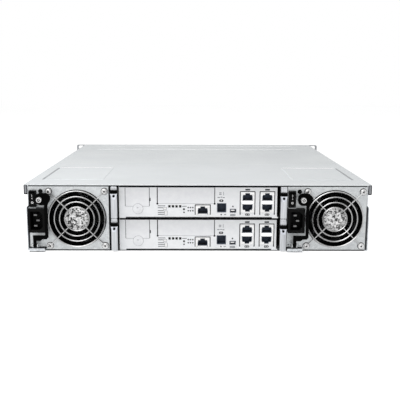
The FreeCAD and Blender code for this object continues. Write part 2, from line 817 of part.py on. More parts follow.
def fan_frame(label, side):
    """Square moulding with a round bore, and a hub plate held by four struts."""
    body = new_body("FanFrame")
    square = rectangle("-fan_size / 2", "-fan_size / 2", "fan_size / 2", "fan_size / 2")
    pad(body, "XZ", [square, ("0", "0", "fan_bore")], "0", "fan_depth")
    round_edges(body, "fan_corner", lambda edge, bound: runs_along(edge, "y")
                and near(abs(edge.CenterOfMass.x), bound.XMax))
    pad(body, "XZ", [("0", "0", "hub_radius")], "hub_inset", "hub_inset + hub_plate")
    strut = rectangle("hub_radius - strut_width / 2", "-strut_width / 2", "fan_bore + strut_width / 2",
                      "strut_width / 2")
    first = pad(body, "XZ", [strut], "hub_inset", "hub_inset + hub_plate", turn=45)
    ring_of(body, first, FAN_CORNERS)
    reach = "fan_hole_pitch / 2"
    holes = [(f"{across} * {reach}", f"{up} * {reach}", "fan_hole") for across in (-1, 1) for up in (-1, 1)]
    pocket(body, "XZ", holes, "0", "fan_depth")
    in_supply(body, side, "fan_x", "casing_sheet", "fan_z")
    return node(body, f"{label}_fan_frame")


def blade_section(radius, chord, pitch):
    """Four corners of a flat blade section, square to the radius, about its middle."""
    along = Vector(0, math.sin(pitch), math.cos(pitch)) * (chord / 2)
    through = Vector(0, math.cos(pitch), -math.sin(pitch)) * (size("blade_sheet") / 2)
    middle = Vector(radius, 0, 0)
    corners = [middle - along - through, middle + along - through, middle + along + through,
               middle - along + through]
    return Part.makePolygon(corners + corners[:1])


def fan_rotor(label, side):
    """Hub with twisted blades lofted from root to tip, turning about Y."""
    deep = size("fan_depth") - size("hub_inset") - size("hub_plate") - 2 * size("rotor_gap")
    root = blade_section(size("rotor_hub") - size("blade_sheet"), size("blade_root_chord"),
                         math.radians(size("blade_root_pitch")))
    tip = blade_section(size("rotor_tip"), size("blade_tip_chord"), math.radians(size("blade_tip_pitch")))
    blade = Part.makeLoft([root, tip], True, True)
    hub = Part.makeCylinder(size("rotor_hub"), deep, Vector(0, -deep / 2, 0), Vector(0, 1, 0))
    blades = []
    for index in range(FAN_BLADES):
        copy = blade.copy()
        copy.rotate(Vector(), Vector(0, 1, 0), 360.0 * index / FAN_BLADES)
        blades.append(copy)
    rotor = doc.addObject("Part::Feature", "Rotor")
    rotor.Shape = hub.multiFuse(blades).removeSplitter()
    start = "casing_sheet + hub_inset + hub_plate + rotor_gap"
    middle = f"{start} + (fan_depth - hub_inset - hub_plate - 2 * rotor_gap) / 2"
    in_supply(rotor, side, "fan_x", middle, "fan_z")
    return node(rotor, f"{label}_fan_rotor")


def wire_ring(radius, out):
    """A wire ring about the Y axis, its middle at a distance out from the casing."""
    body = new_body("GuardRing")
    turned(body, [(f"{radius} + {across} * guard_wire / 2", f"{along} * guard_wire / 2 - {out}")
                  for across, along in ((1, 0), (0, 1), (-1, 0), (0, -1))])
    return body


def guard_eye(sign_x, sign_z):
    """The flattened end of a diagonal wire, lying on the casing round a fan screw."""
    body = new_body("GuardEye")
    middle = (f"{sign_x} * fan_hole_pitch / 2", f"{sign_z} * fan_hole_pitch / 2")
    outer, inner = "guard_loop + guard_wire / 2", "guard_loop - guard_wire / 2"
    pad(body, "XZ", [(*middle, outer), (*middle, inner)], "-guard_wire", "0")
    return body


def fan_guard(label, side):
    """Welded wire guard: rings over four diagonal wires that end in eyes round the fan screws."""
    pieces = [wire_ring(f"guard_ring_{name}", "guard_ring_out")
              for name in ("outer", "middle", "inner", "hub")]
    for sign_x, sign_z in ((1, 1), (1, -1), (-1, -1), (-1, 1)):
        wire = doc.addObject("Part::Prism", "GuardWire")
        turn = Rotation(Vector(0, 0, 1), Vector(sign_x, 0, sign_z))
        wire.Placement = Placement(Vector(), turn)
        bind(wire, "Circumradius", "guard_wire / 2")
        bind(wire, "Height", "fan_hole_pitch / sqrt(2) - guard_loop - guard_wire_start")
        place(wire, f"{sign_x} * guard_wire_start / sqrt(2)", "-guard_spoke_out",
              f"{sign_z} * guard_wire_start / sqrt(2)")
        pieces += [wire, guard_eye(sign_x, sign_z)]
    guard = fuse("Guard", pieces)
    in_supply(guard, side, "fan_x", "0", "fan_z")
    return node(guard, f"{label}_fan_guard")


def inlet_housing():
    """Portrait C14 inlet: flange, body, and a socket with two cut corners."""
    body = new_body("Inlet")
    pad(body, "XZ", [rectangle("0", "0", "inlet_width", "inlet_height")], "-inlet_flange", "0")
    behind = rectangle("inlet_step", "inlet_step", "inlet_width - inlet_step", "inlet_height - inlet_step")
    pad(body, "XZ", [behind], "0", "inlet_depth - inlet_flange")
    left, right = "(inlet_width - socket_width) / 2", "(inlet_width + socket_width) / 2"
    low, high = "(inlet_height - socket_height) / 2", "(inlet_height + socket_height) / 2"
    socket = [(left, low), (f"{right} - socket_chamfer", low), (right, f"{low} + socket_chamfer"),
              (right, f"{high} - socket_chamfer"), (f"{right} - socket_chamfer", high), (left, high)]
    pocket(body, "XZ", [socket], "-inlet_flange", "socket_depth - inlet_flange")
    return body


def inlet_pins():
    """Earth pin in the middle, set towards the cut corners, and the two live pins either side."""
    pins = []
    for step, offset in ((-1, 0), (0, 1), (1, 0)):
        middle_x = f"inlet_width / 2 - pin_offset + {offset} * 2 * pin_offset"
        middle_z = f"inlet_height / 2 + {step} * pin_pitch"
        pins.append(box("Pin", f"{middle_x} - pin_width / 2",
                        "socket_depth - inlet_flange - pin_length", f"{middle_z} - pin_sheet / 2",
                        "pin_width", "pin_length", "pin_sheet"))
    return pins


def switch_surround():
    body = new_body("Surround")
    outer = rectangle("0", "0", "switch_width", "switch_height")
    inner = rectangle("switch_rim", "switch_rim", "switch_width - switch_rim", "switch_height - switch_rim")
    pad(body, "XZ", [outer], "-switch_proud", "0")
    pad(body, "XZ", [inner], "0", "switch_depth")
    rim = "(switch_rim + switch_wall)"
    hole = rectangle(rim, rim, f"switch_width - {rim}", f"switch_height - {rim}")
    pocket(body, "XZ", [hole], "-switch_proud", "switch_depth - switch_wall")
    return body


def power_entry(label, side):
    """The black mouldings of the rear face: inlet with its pins, switch surround and lamp."""
    housing = place(inlet_housing(), "inlet_left", "0", "inlet_bottom")
    pins = group("Pins", inlet_pins())
    place(pins, "inlet_left", "0", "inlet_bottom")
    surround = place(switch_surround(), "switch_left", "0", "switch_bottom")
    bezel = rod("LampBezel", "lamp_left", "-lamp_proud", "lamp_height", "lamp_radius", "lamp_proud")
    entry = group("PowerEntry", [housing, pins, surround, bezel])
    in_supply(entry, side)
    return node(entry, f"{label}_power_entry")


def rocker(label, side):
    """Switch rocker about its own pivot, standing with one end pressed."""
    body = new_body("Rocker")
    half = "rocker_length / 2"
    front = "-(rocker_pivot_depth + rocker_proud)"
    outline = [(front, half), (f"{front} + rocker_dip", "0"), (front, f"-({half})"),
               ("-rocker_shoulder", f"-({half})"), ("rocker_heel", "-rocker_heel / 2"),
               ("rocker_heel", "rocker_heel / 2"), ("-rocker_shoulder", half)]
    width = "(switch_width - 2 * switch_rim - 2 * switch_wall - 2 * rocker_side_gap)"
    pad(body, "YZ", [outline], f"-{width} / 2", f"{width} / 2")
    body.Placement = Placement(Vector(), Rotation(Vector(1, 0, 0), size("rocker_tilt")))
    in_supply(body, side, "switch_x", "(rocker_pivot_depth - switch_proud)", "switch_z")
    return node(body, f"{label}_rocker")


def supply_lever(label, side):
    """Flat steel lever: head, arm beside the inlet, bar below it and a foot with a hinge barrel."""
    body = new_body("Lever")
    back = "-lever_standoff"
    front = f"{back} - lever_sheet"
    arm_right = "lever_arm_left + lever_arm_width"
    bar_top = "lever_bar_bottom + lever_bar_height"
    foot_right = "lever_foot_left + lever_foot_width"
    step = "lever_bar_bottom + lever_step_height"
    head_middle = "lever_head_bottom + lever_head_height / 2"
    outline = [("lever_foot_left", "lever_pivot_height"), (foot_right, "lever_pivot_height"),
               (foot_right, "lever_bar_bottom"), ("lever_step_left", "lever_bar_bottom"),
               ("lever_step_left + lever_step_height", step), (f"{arm_right} - lever_bar_chamfer", step),
               (arm_right, f"{step} + lever_bar_chamfer"), (arm_right, head_middle),
               ("lever_arm_left", head_middle), ("lever_arm_left", bar_top), ("lever_foot_left", bar_top)]
    pad(body, "XZ", [outline], front, back)
    beak = "lever_head_left + lever_head_width"
    head_top = "lever_head_bottom + lever_head_height"
    head = [("lever_head_left", "lever_head_bottom"), (arm_right, "lever_head_bottom"),
            (beak, "lever_head_bottom + lever_beak_low"), (beak, "lever_head_bottom + lever_beak_high"),
            (f"{beak} - lever_beak_slope", head_top), ("lever_head_left", head_top)]
    pad(body, "XZ", [head], front, back)

    def head_corner(edge, bound):
        low = size("lever_head_bottom")
        return runs_along(edge, "y") and (near(edge.CenterOfMass.z, low)
                                          and near(edge.CenterOfMass.x, size("lever_head_left"))
                                          or near(edge.CenterOfMass.z, bound.ZMax))
    round_edges(body, "lever_head_round", head_corner)
    pocket(body, "XZ", [("screw_left", "screw_height", "screw_hole")], front, back)
    pad(body, "YZ", [("-lever_pivot_out", "lever_pivot_height", "lever_barrel")],
        "lever_foot_left", foot_right)
    pad(body, "YZ", [("-lever_pivot_out", "lever_pivot_height", "hinge_pin")],
        "lever_foot_left - cheek_gap - cheek_sheet", f"{foot_right} + cheek_gap + cheek_sheet")
    in_supply(body, side)
    return node(body, f"{label}_lever")


def thumbscrew(label, side):
    """Captive screw, revolved about Y: head, then a shank that stops short of the casing."""
    body = new_body("Thumbscrew")
    underside = "-(lever_standoff + lever_sheet + screw_head_gap)"
    outside = f"{underside} - screw_head_length"
    outline = [("0", outside), ("screw_head - screw_edge", outside),
               ("screw_head", f"{outside} + screw_edge"), ("screw_head", f"{underside} - screw_edge"),
               ("screw_head - screw_edge", underside), ("screw_shank", underside),
               ("screw_shank", "-screw_shank_gap"), ("0", "-screw_shank_gap")]
    turned(body, outline)
    in_supply(body, side, "screw_left", "0", "screw_height")
    return node(body, f"{label}_thumbscrew")


# ---------------------------------------------------------------- controllers

def in_canister(obj, bottom, x="0", y="0", z="0"):
    """Put a piece drawn in a controller's own frame, x = 0 in its middle, into its slot."""
    return place(obj, x, f"rear_edge + {y}", f"{bottom} + {z}")


def from_left(distance):
    """A distance from the faceplate's left edge, as a place in the controller's frame."""
    return f"({distance} - faceplate_half)"


def port_cutout(left, bottom, width, height):
    ease = "cutout_clearance"
    return rectangle(f"{from_left(left)} - {ease}", f"{bottom} - {ease}",
                     f"{from_left(left)} + {width} + {ease}", f"{bottom} + {height} + {ease}")


def canister_housing(label, bottom):
    """Sheet housing with a proud faceplate, set back at both sides where the handles stand."""
    body = new_body("Housing")
    half = [("faceplate_half", "0"), ("faceplate_half", "pocket_depth"), ("canister_half", "pocket_depth"),
            ("canister_half", "module_length")]
    pad(body, "XY", [mirrored(half)], "0", "canister_height")
    sheet = "canister_sheet"
    inner = [(f"faceplate_half - {sheet}", sheet), (f"faceplate_half - {sheet}", f"pocket_depth + {sheet}"),
             (f"canister_half - {sheet}", f"pocket_depth + {sheet}"),
             (f"canister_half - {sheet}", f"module_length - {sheet}")]
    pocket(body, "XY", [mirrored(inner)], sheet, f"canister_height - {sheet}")
    panels = [rectangle(f"{from_left(f'{name}_left')} - panel_seam", f"{name}_bottom - panel_hairline",
                        f"{from_left(f'{name}_left')} + {name}_width + panel_seam", "panel_top")
              for name in ("battery", "slot")]
    ports = [port_cutout(left, "jack_bottom", "jack_width", "jack_height")
             for left in ("jack_first_left", "jack_second_left")]
    ports.append(port_cutout("service_left", "board_top", "service_width", "service_height"))
    ports.append(port_cutout("expansion_left", "expansion_bottom", "expansion_width", "expansion_height"))
    ports.append(port_cutout("console_left", "console_bottom", "console_width", "console_height"))
    pocket(body, "XZ", panels + ports, "0", sheet)
    slit = rectangle("-tongue_width / 2 - slot_clearance", "board_top - board_sheet - slot_clearance",
                     "tongue_width / 2 + slot_clearance", "board_top + slot_clearance")
    pocket(body, "XZ", [slit], f"module_length - {sheet}", "module_length")
    for middle in ("-left_handle_middle", "right_handle_middle"):
        start = f"{middle} - handle_lug / 2"
        end = f"{start} + handle_lug"
        lug = rectangle("-handle_pivot_out", "handle_pivot_height - handle_lug_round", "pocket_depth",
                        "handle_pivot_height + handle_lug_round")
        pad(body, "YZ", [lug], start, end)
        pad(body, "YZ", [("-handle_pivot_out", "handle_pivot_height", "handle_lug_round")], start, end)
        pocket(body, "YZ", [("-handle_pivot_out", "handle_pivot_height", "hinge_pin + hinge_fit")],
               start, end)
    in_canister(body, bottom)
    return node(body, f"{label}_housing")


def jack_bore(left, bottom, notch_up):
    """Cutter for one plug opening: the plug's body and the notch for its clip."""
    bore_x = f"{left} + (jack_width - jack_bore_width) / 2"
    notch_x = f"{left} + (jack_width - jack_notch_width) / 2"
    notch_z = f"{bottom} + jack_bore_height" if notch_up else f"{bottom} - jack_notch_height"
    deep = "jack_bore_depth"
    bore = box("Bore", bore_x, "-jack_proud", bottom, "jack_bore_width", deep, "jack_bore_height")
    notch = box("Notch", notch_x, "-jack_proud", notch_z, "jack_notch_width", deep, "jack_notch_height")
    return [bore, notch]


def jack_pair(left_name):
    """Two stacked network jacks in one shield, the upper with its clip notch up, the lower down."""
    left = from_left(left_name)
    shield = box("Shield", left, "-jack_proud", "jack_bottom", "jack_width", "jack_depth", "jack_height")
    foot = box("Foot", left, "canister_sheet + cutout_clearance", "board_top", "jack_width",
               "jack_depth - jack_proud - canister_sheet - cutout_clearance", "jack_bottom - board_top")
    low = "jack_bottom + jack_bore_margin + jack_notch_height"
    high = "jack_bottom + jack_height - jack_bore_margin - jack_notch_height - jack_bore_height"
    bores = jack_bore(left, low, False) + jack_bore(left, high, True)
    return cut("JackPair", fuse("JackSolid", [shield, foot]), fuse("JackBores", bores))


def service_jack():
    left = from_left("service_left")
    shield = box("Shield", left, "-jack_proud", "board_top", "service_width", "jack_depth", "service_height")
    shift = f"{left} + (service_width - jack_width) / 2"
    bores = jack_bore(shift, "board_top + jack_bore_margin", True)
    return cut("ServiceJack", shield, fuse("ServiceBore", bores))


def shell_port(name, left_name, width, height, bottom):
    """A square port: a thin metal shell standing on the board behind the faceplate."""
    left = from_left(left_name)
    shell = box(f"{name}Shell", left, "-jack_proud", bottom, width, "jack_depth", height)
    foot = box(f"{name}Foot", left, "canister_sheet + cutout_clearance", "board_top", width,
               "jack_depth - jack_proud - canister_sheet - cutout_clearance", f"{bottom} - board_top")
    bore = box(f"{name}Bore", f"{left} + shell_wall", "-jack_proud", f"{bottom} + shell_wall",
               f"{width} - 2 * shell_wall", "jack_bore_depth", f"{height} - 2 * shell_wall")
    return cut(name, fuse(f"{name}Solid", [shell, foot]), bore)


def canister_board(label, bottom):
    """Circuit board with its edge tongue, and the port shells that stand on it."""
    board = new_body("Board")
    edge = "(canister_half - canister_sheet - board_margin)"
    rear = "pocket_depth + canister_sheet + board_margin"
    front_half = "(faceplate_half - canister_sheet - board_margin)"
    half = [(front_half, "canister_sheet + cutout_clearance"), (front_half, rear), (edge, rear),
            (edge, "module_length - canister_sheet - board_margin"),
            ("tongue_width / 2", "module_length - canister_sheet - board_margin"),
            ("tongue_width / 2", "module_length + tongue_length")]
    pad(board, "XY", [mirrored(half)], "board_top - board_sheet", "board_top")
    ports = [jack_pair("jack_first_left"), jack_pair("jack_second_left"), service_jack(),
             shell_port("Expansion", "expansion_left", "expansion_width", "expansion_height",
                        "expansion_bottom"),
             shell_port("Console", "console_left", "console_width", "console_height", "console_bottom")]
    whole = group("BoardGroup", [board] + ports)
    in_canister(whole, bottom)
    return node(whole, f"{label}_board")


def battery_module(label, bottom):
    """Backup battery: box behind a flush panel, with a round tab on the faceplate and its thumbscrew."""
    body = new_body("Battery")
    left = from_left("battery_left")
    top = "panel_top - panel_hairline"
    panel = rectangle(left, "battery_bottom", f"{left} + battery_width", top)
    pad(body, "XZ", [panel], "0", "plate_sheet")
    pack = rectangle(f"{left} + battery_lip", "battery_bottom + battery_lip",
                     f"{left} + battery_width - battery_lip", f"{top} - battery_lip")
    pad(body, "XZ", [pack], "plate_sheet", "battery_length")
    middle = (from_left("battery_screw_left"), "battery_screw_height")
    pad(body, "XZ", [(*middle, "battery_tab")], "-battery_tab_proud", "0")
    knob = rod("BatteryKnob", middle[0], "-(battery_tab_proud + battery_knob_proud)", middle[1],
               "battery_knob", "battery_knob_proud")
    whole = group("BatteryGroup", [body, knob])
    in_canister(whole, bottom)
    return node(whole, f"{label}_battery")


def slot_cover(label, bottom):
    """Blank panel, flush in the empty card slot, with a lip behind the faceplate."""
    body = new_body("SlotCover")
    left, right = from_left("slot_left"), f"{from_left('slot_left')} + slot_width"
    panel = rectangle(left, "slot_bottom", right, "panel_top - panel_hairline")
    pad(body, "XZ", [panel], "0", "plate_sheet")
    behind = rectangle(f"{left} + slot_lip", "slot_bottom - slot_lip", f"{right} - slot_lip",
                       "slot_bottom + slot_lip")
    pad(body, "XZ", [behind], "plate_sheet", "2 * plate_sheet")
    in_canister(body, bottom)
    return node(body, f"{label}_slot_cover")


def handle_collar(front, level):
    """Black moulded grip: a rounded clip round the channel."""
    body = new_body("Collar")
    inner = "(handle_width / 2 + collar_fit)"
    outer = f"({inner} + collar_wall)"
    outline = [(outer, "-handle_back"), (outer, f"{front} - collar_reach"),
               (f"-{outer}", f"{front} - collar_reach"), (f"-{outer}", "-handle_back"),
               (f"-{inner}", "-handle_back"), (f"-{inner}", f"{front} - collar_fit"),
               (inner, f"{front} - collar_fit"), (inner, "-handle_back")]
    pad(body, "XY", [outline], level, f"{level} + collar_height")
    round_edges(body, "collar_round", lambda edge, bound: runs_along(edge, "z")
                and near(edge.CenterOfMass.y, bound.YMin))
    return body


def canister_handle(label, bottom, side_name, side):
    """Ejector: a channel hinged at its foot, with a tapered strap and a black collar near its top."""
    body = new_body("Handle")
    half = "handle_width / 2"
    front = "-(handle_back + handle_depth)"
    level = f"{side_name}_collar_level"
    channel = [(f"-{half}", front), (half, front), (half, "-handle_back"),
               (f"{half} - handle_sheet", "-handle_back"),
               (f"{half} - handle_sheet", f"{front} + handle_sheet"),
               (f"handle_sheet - {half}", f"{front} + handle_sheet"),
               (f"handle_sheet - {half}", "-handle_back"), (f"-{half}", "-handle_back")]
    pad(body, "XY", [channel], "handle_end", "canister_height - handle_end")
    strap = mirrored([("strap_foot / 2", f"{level} - strap_drop"), ("strap_top / 2", level)])
    pad(body, "XZ", [strap], f"{front} - strap_sheet", front)
    pocket(body, "XZ", [("0", f"{level} - strap_hole_drop", "strap_hole")], f"{front} - strap_sheet",
           f"{front} + handle_sheet")
    pad(body, "YZ", [("-handle_pivot_out", "handle_pivot_height", "hinge_pin")], f"-{half}", half)
    whole = group("HandleGroup", [body, handle_collar(front, level)])
    in_canister(whole, bottom, f"{side} * {side_name}_handle_middle")
    return node(whole, f"{label}_handle_{side_name}")


# ---------------------------------------------------------------- drives

def in_bay(obj, column, row):
    """Put a piece drawn in a carrier's frame into its bay: x, z from its lower left, y = 0 in front."""
    left = f"-cage_half + cage_sheet + carrier_clearance + {column} * bay_pitch"
    bottom = f"cage_floor + carrier_clearance + {row} * row_pitch"
    return place(obj, left, "front_edge", bottom)


def drive_carrier(label, column, row):
    """Carrier: a bezel with a latch recess and air slots, two side rails, and the disk between them."""
    body = new_body("Carrier")
    pad(body, "XZ", [rectangle("0", "0", "carrier_width", "carrier_height")], "-bezel_depth", "0")
    gap = "latch_gap"
    recess = rectangle(f"latch_inset - {gap}", f"latch_bottom - {gap}",
                       f"latch_inset + latch_length + {gap}", f"latch_bottom + latch_height + {gap}")
    pocket(body, "XZ", [recess], "-latch_recess", "0")
    low = "(latch_bottom - latch_gap - grille_slot_height) / 2"
    slots = [rectangle("grille_margin", start, "carrier_width - grille_margin",
                       f"{start} + grille_slot_height")
             for start in (low, f"carrier_height - {low} - grille_slot_height")]
    pocket(body, "XZ", slots, "-grille_depth", "0")
    pivot_y = "-(latch_barrel + latch_gap)"
    reach = f"({gap} + latch_pin_reach)"
    pocket(body, "XY", [("latch_pivot_x", pivot_y, "latch_pin + hinge_fit")],
           f"latch_bottom - {reach}", f"latch_bottom + latch_height + {reach}")
    rail_low = "(carrier_height - rail_height) / 2"
    disk_x = "(carrier_width - disk_width) / 2"
    for start in (f"{disk_x} - rail_sheet", f"{disk_x} + disk_width"):
        rail = rectangle(start, rail_low, f"{start} + rail_sheet", f"{rail_low} + rail_height")
        pad(body, "XZ", [rail], "-bezel_depth - disk_length", "-bezel_depth")
    disk = box("Disk", disk_x, "-bezel_depth - disk_length", "(carrier_height - disk_height) / 2",
               "disk_width", "disk_length", "disk_height")
    whole = group("CarrierGroup", [body, disk])
    in_bay(whole, column, row)
    return node(whole, f"{label}_carrier")


def drive_latch(label, column, row):
    """Latch handle lying in the bezel's recess, hinged on an upright pin at one end."""
    body = new_body("Latch")
    pivot_y = "-(latch_barrel + latch_gap)"
    end = "latch_inset + latch_length"
    bar = rectangle("latch_pivot_x", "-latch_sheet", end, "0")
    low, high = "latch_bottom", "latch_bottom + latch_height"
    pad(body, "XY", [bar], low, high)
    lip = rectangle(f"{end} - latch_sheet / 2", "-latch_lip", end, "0")
    pad(body, "XY", [lip], low, high)
    pad(body, "XY", [("latch_pivot_x", pivot_y, "latch_barrel")], low, high)
    reach = "(latch_gap + latch_pin_reach - latch_pin_end)"
    pad(body, "XY", [("latch_pivot_x", pivot_y, "latch_pin")], f"{low} - {reach}", f"{high} + {reach}")
    in_bay(body, column, row)
    return node(body, f"{label}_latch")


# ---------------------------------------------------------------- the whole shelf

def build():
    fill_sheets()
    chassis_tray()
    rear_cover()
    front_cover()
    rack_ear("rack_ear_left", "-1")
    rack_ear("rack_ear_right", "1")
    drive_cage()
    canister_cage()
    midplane_board()
    for name in ("left", "right"):
        label, side = f"psu_{name}", f"supply_{name}_x"
        for piece in (supply_casing, fan_frame, fan_rotor, fan_guard, power_entry, rocker, supply_lever,
                      thumbscrew):
            piece(label, side)
    for label, bottom in (("controller_a", "upper_bottom"), ("controller_b", "module_bottom")):
        for piece in (canister_housing, canister_board, battery_module, slot_cover):
            piece(label, bottom)
        canister_handle(label, bottom, "left", "-1")
        canister_handle(label, bottom, "right", "1")
    for row in range(BAY_ROWS):
        for column in range(BAY_COLUMNS):
            label = f"drive_{row * BAY_COLUMNS + column + 1:02d}"
            drive_carrier(label, column, row)
            drive_latch(label, column, row)


def check():
    for obj in doc.Objects:
        if "Invalid" in obj.State or "Error" in obj.State:
            raise RuntimeError(f"{obj.Name} ({obj.Label}) failed: {obj.State}")
    for feature in CUTS:
        if feature.Shape.Volume > feature.BaseFeature.Shape.Volume - 1e-3:
            raise RuntimeError(f"{feature.Name} in {feature.getParent().Name} cuts nothing")
    for obj in NODES:
        if obj.Shape.isNull() or not obj.Shape.isValid():
            raise RuntimeError(f"{obj.Label} has a bad shape")


def export():
    os.makedirs("parts", exist_ok=True)
    for obj in NODES:
        obj.Shape.exportStep(f"parts/{obj.Label}.step")


build()
doc.recompute()
check()
export()
print(f"{len(NODES)} nodes written")
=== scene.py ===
"""Looks of the disk shelf enclosure: finishes, small fasteners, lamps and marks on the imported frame.

Places and sizes of the pieces are in millimetres and turn into metres where vertices and matrices are
made. The stage, the lights and the camera are in metres.
"""
import math
from collections import namedtuple

import bmesh
import bpy
from mathutils import Matrix, Vector
from mathutils.bvhtree import BVHTree

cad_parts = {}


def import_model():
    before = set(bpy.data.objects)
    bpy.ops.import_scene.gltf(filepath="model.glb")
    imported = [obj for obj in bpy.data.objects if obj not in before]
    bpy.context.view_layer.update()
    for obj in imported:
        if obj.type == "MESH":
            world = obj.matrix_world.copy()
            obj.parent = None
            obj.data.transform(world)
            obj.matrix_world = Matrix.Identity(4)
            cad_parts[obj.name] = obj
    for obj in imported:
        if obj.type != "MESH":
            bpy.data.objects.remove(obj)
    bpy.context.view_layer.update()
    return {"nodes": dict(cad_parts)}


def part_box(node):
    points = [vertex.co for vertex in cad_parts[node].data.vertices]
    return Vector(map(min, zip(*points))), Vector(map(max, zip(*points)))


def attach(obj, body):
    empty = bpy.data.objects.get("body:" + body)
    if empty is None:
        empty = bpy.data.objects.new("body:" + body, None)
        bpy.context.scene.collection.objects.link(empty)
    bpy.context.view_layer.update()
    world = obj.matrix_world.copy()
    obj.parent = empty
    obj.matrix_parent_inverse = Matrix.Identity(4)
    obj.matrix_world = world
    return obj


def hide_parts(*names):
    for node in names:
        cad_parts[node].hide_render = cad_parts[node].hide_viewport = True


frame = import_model()
NODES = frame["nodes"]
MM = 0.001


# ---------------------------------------------------------------- places read from the frame

Place = namedtuple("Place", "x y z")


def in_millimetres(metres):
    """Point in metres as a place in millimetres."""
    return Place(*(value / MM for value in metres))


def in_metres(x, y, z):
    """Vector in metres of a point in millimetres."""
    return Vector((x * MM, y * MM, z * MM))


def extent(node):
    """Lowest and highest corner of a node, in millimetres."""
    low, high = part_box(node)
    return in_millimetres(low), in_millimetres(high)


REAR_Y = extent("rear_cover")[0].y
FRONT_Y = extent("front_cover")[1].y
TOP_Z = extent("rear_cover")[1].z
CANISTER_PITCH = extent("controller_a_housing")[0].z - extent("controller_b_housing")[0].z
CONTROLLERS = ("controller_a", "controller_b")
SUPPLIES = ("psu_left", "psu_right")
DRIVES = sorted({name.rsplit("_", 1)[0] for name in NODES if name.startswith(("drive_0", "drive_1"))})
SIDES = ("left", "right")

# ---------------------------------------------------------------- layout, in millimetres

# Controller faceplate, from its lower left corner.
SLOT_LEFT, SLOT_FOOT = 49.6, 18.3
BATTERY_FOOT, BATTERY_SEAMS_FOOT = 14.7, 15.2
PANELS_TOP = 39.2
BATTERY_TAB = (24.2, 11.6)
FACE_LAMPS, LAMP_ROW = (64.8, 69.4, 74.0, 78.7), 14.8
DOT_COLUMNS, DOT_ROWS = (89.1, 92.0, 95.0), (13.2, 9.0)
PORT_LABELS, OVER_PORTS, UNDER_PORTS = (165.5, 190.9), 36.7, 4.1
JACK_RIMS_FOOT = 3.9
SERVICE_OVAL = (131.7, 22.3)
SERVICE_BAR = (134.4, 31.6)
CONSOLE_PORT = (146.6, 9.7)
# Column, level and radius.
ROUND_LAMPS = ((83.6, 11.0, 1.35), (83.6, 6.9, 1.0), (146.6, 14.8, 0.95), (131.7, 4.0, 0.9))
# Left end, width and level.
STROKES = ((81.2, 6.0, 14.8), (128.8, 3.2, 32.4), (128.8, 3.2, 30.4), (126.8, 3.0, 26.6),
           (130.6, 2.2, 26.9), (133.4, 2.6, 26.4), (135.2, 2.8, 4.0), (143.2, 7.0, 4.2), (143.2, 7.0, 2.6))
PRINT_ROWS = ((49.8, 9.6, 15.4), (49.8, 6.6, 12.9), (49.8, 7.8, 9.0), (49.8, 8.6, 6.6), (49.8, 8.2, 4.2))
# Column, level, width and height.
PRINT_BOXES = ((59.0, 12.0, 3.8, 2.6), (60.2, 6.0, 3.2, 5.2))

# Network jacks: width range of their shields, height over which one is a pair, levels of the mouths
# and the band from the top of a pair, or of the mouth from the foot of a single one, and the contacts.
JACK_WIDTHS, PAIR_HEIGHT = (17, 19), 25
UPPER_MOUTH, LOWER_MOUTH, SINGLE_MOUTH, PAIR_BAND = 11.0, 16.0, 1.4, 13.5
CONTACT_COUNT, CONTACT_PITCH = 8, 1.02

# Handles: back of the strap, levels of the collars over the canister's base, and the turned-over tips.
STRAP_BACK = REAR_Y - 9.05
COLLAR_LEVELS = {"left": 33.0, "right": 30.0}
TIP_REACH = {"controller_a": 1.9, "controller_b": 2.6}
TIP_MIDDLES = {"left": -107.4, "right": 109.4}

# Power supply face, from the lower left corner of its casing.
SUPPLY_LAMP = (15.4, 76.7)
INLET_LIP = (5.6, 55.75)
RIVET_MARGINS, RIVET_LEVEL = (2.4, 3.0), 6.6
# Guard eyes from the guard's corners, length of the thumbscrew's head, points round its knurled edge,
# and the turns of a cross recess in radians.
EYE_INSET = 4.0
THUMB_HEAD = 8.0
KNURL_POINTS = 56
CROSS_TURNS = (0.6, 0.6 + math.pi / 2)

# Lid: rise of its pressed fields, places of their edges (at the front with their widths), and the
# screws along each side.
FIELD_RISE = 0.7
REAR_FIELD_X, REAR_FIELD_SIDE, REAR_FIELD_FAR, REAR_FIELD_MIDDLE = 166, 42, 153, 98.5
FRONT_FIELD_EDGES = ((36, 370), (92, 373))
LID_SCREWS = 3

# Rack ears: outer face of the side wall, and the rivets' places behind the front and over the base.
SIDE_WALL = 223.5
EAR_RIVET_DEPTHS, EAR_RIVET_LEVELS = (15, 48), (12, 45)

# How far flat marks stand proud, and how round their corners are.
PRINT, LABEL, STRIP = 0.06, 0.08, 0.12
SMALL_CORNER = 0.2

# Sockets of the colour Mix node: factor and the two colours in, the blend out.
MIX_INPUTS = (0, 6, 7)
MIX_RESULT = 2


# ---------------------------------------------------------------- finishes

def srgb(*values):
    """Linear colour of one grey or three sRGB values from 0 to 255."""
    if len(values) == 1:
        values = values * 3
    linear = [v / 255 / 12.92 if v <= 10 else ((v / 255 + 0.055) / 1.055) ** 2.4 for v in values]
    return (*linear, 1.0)


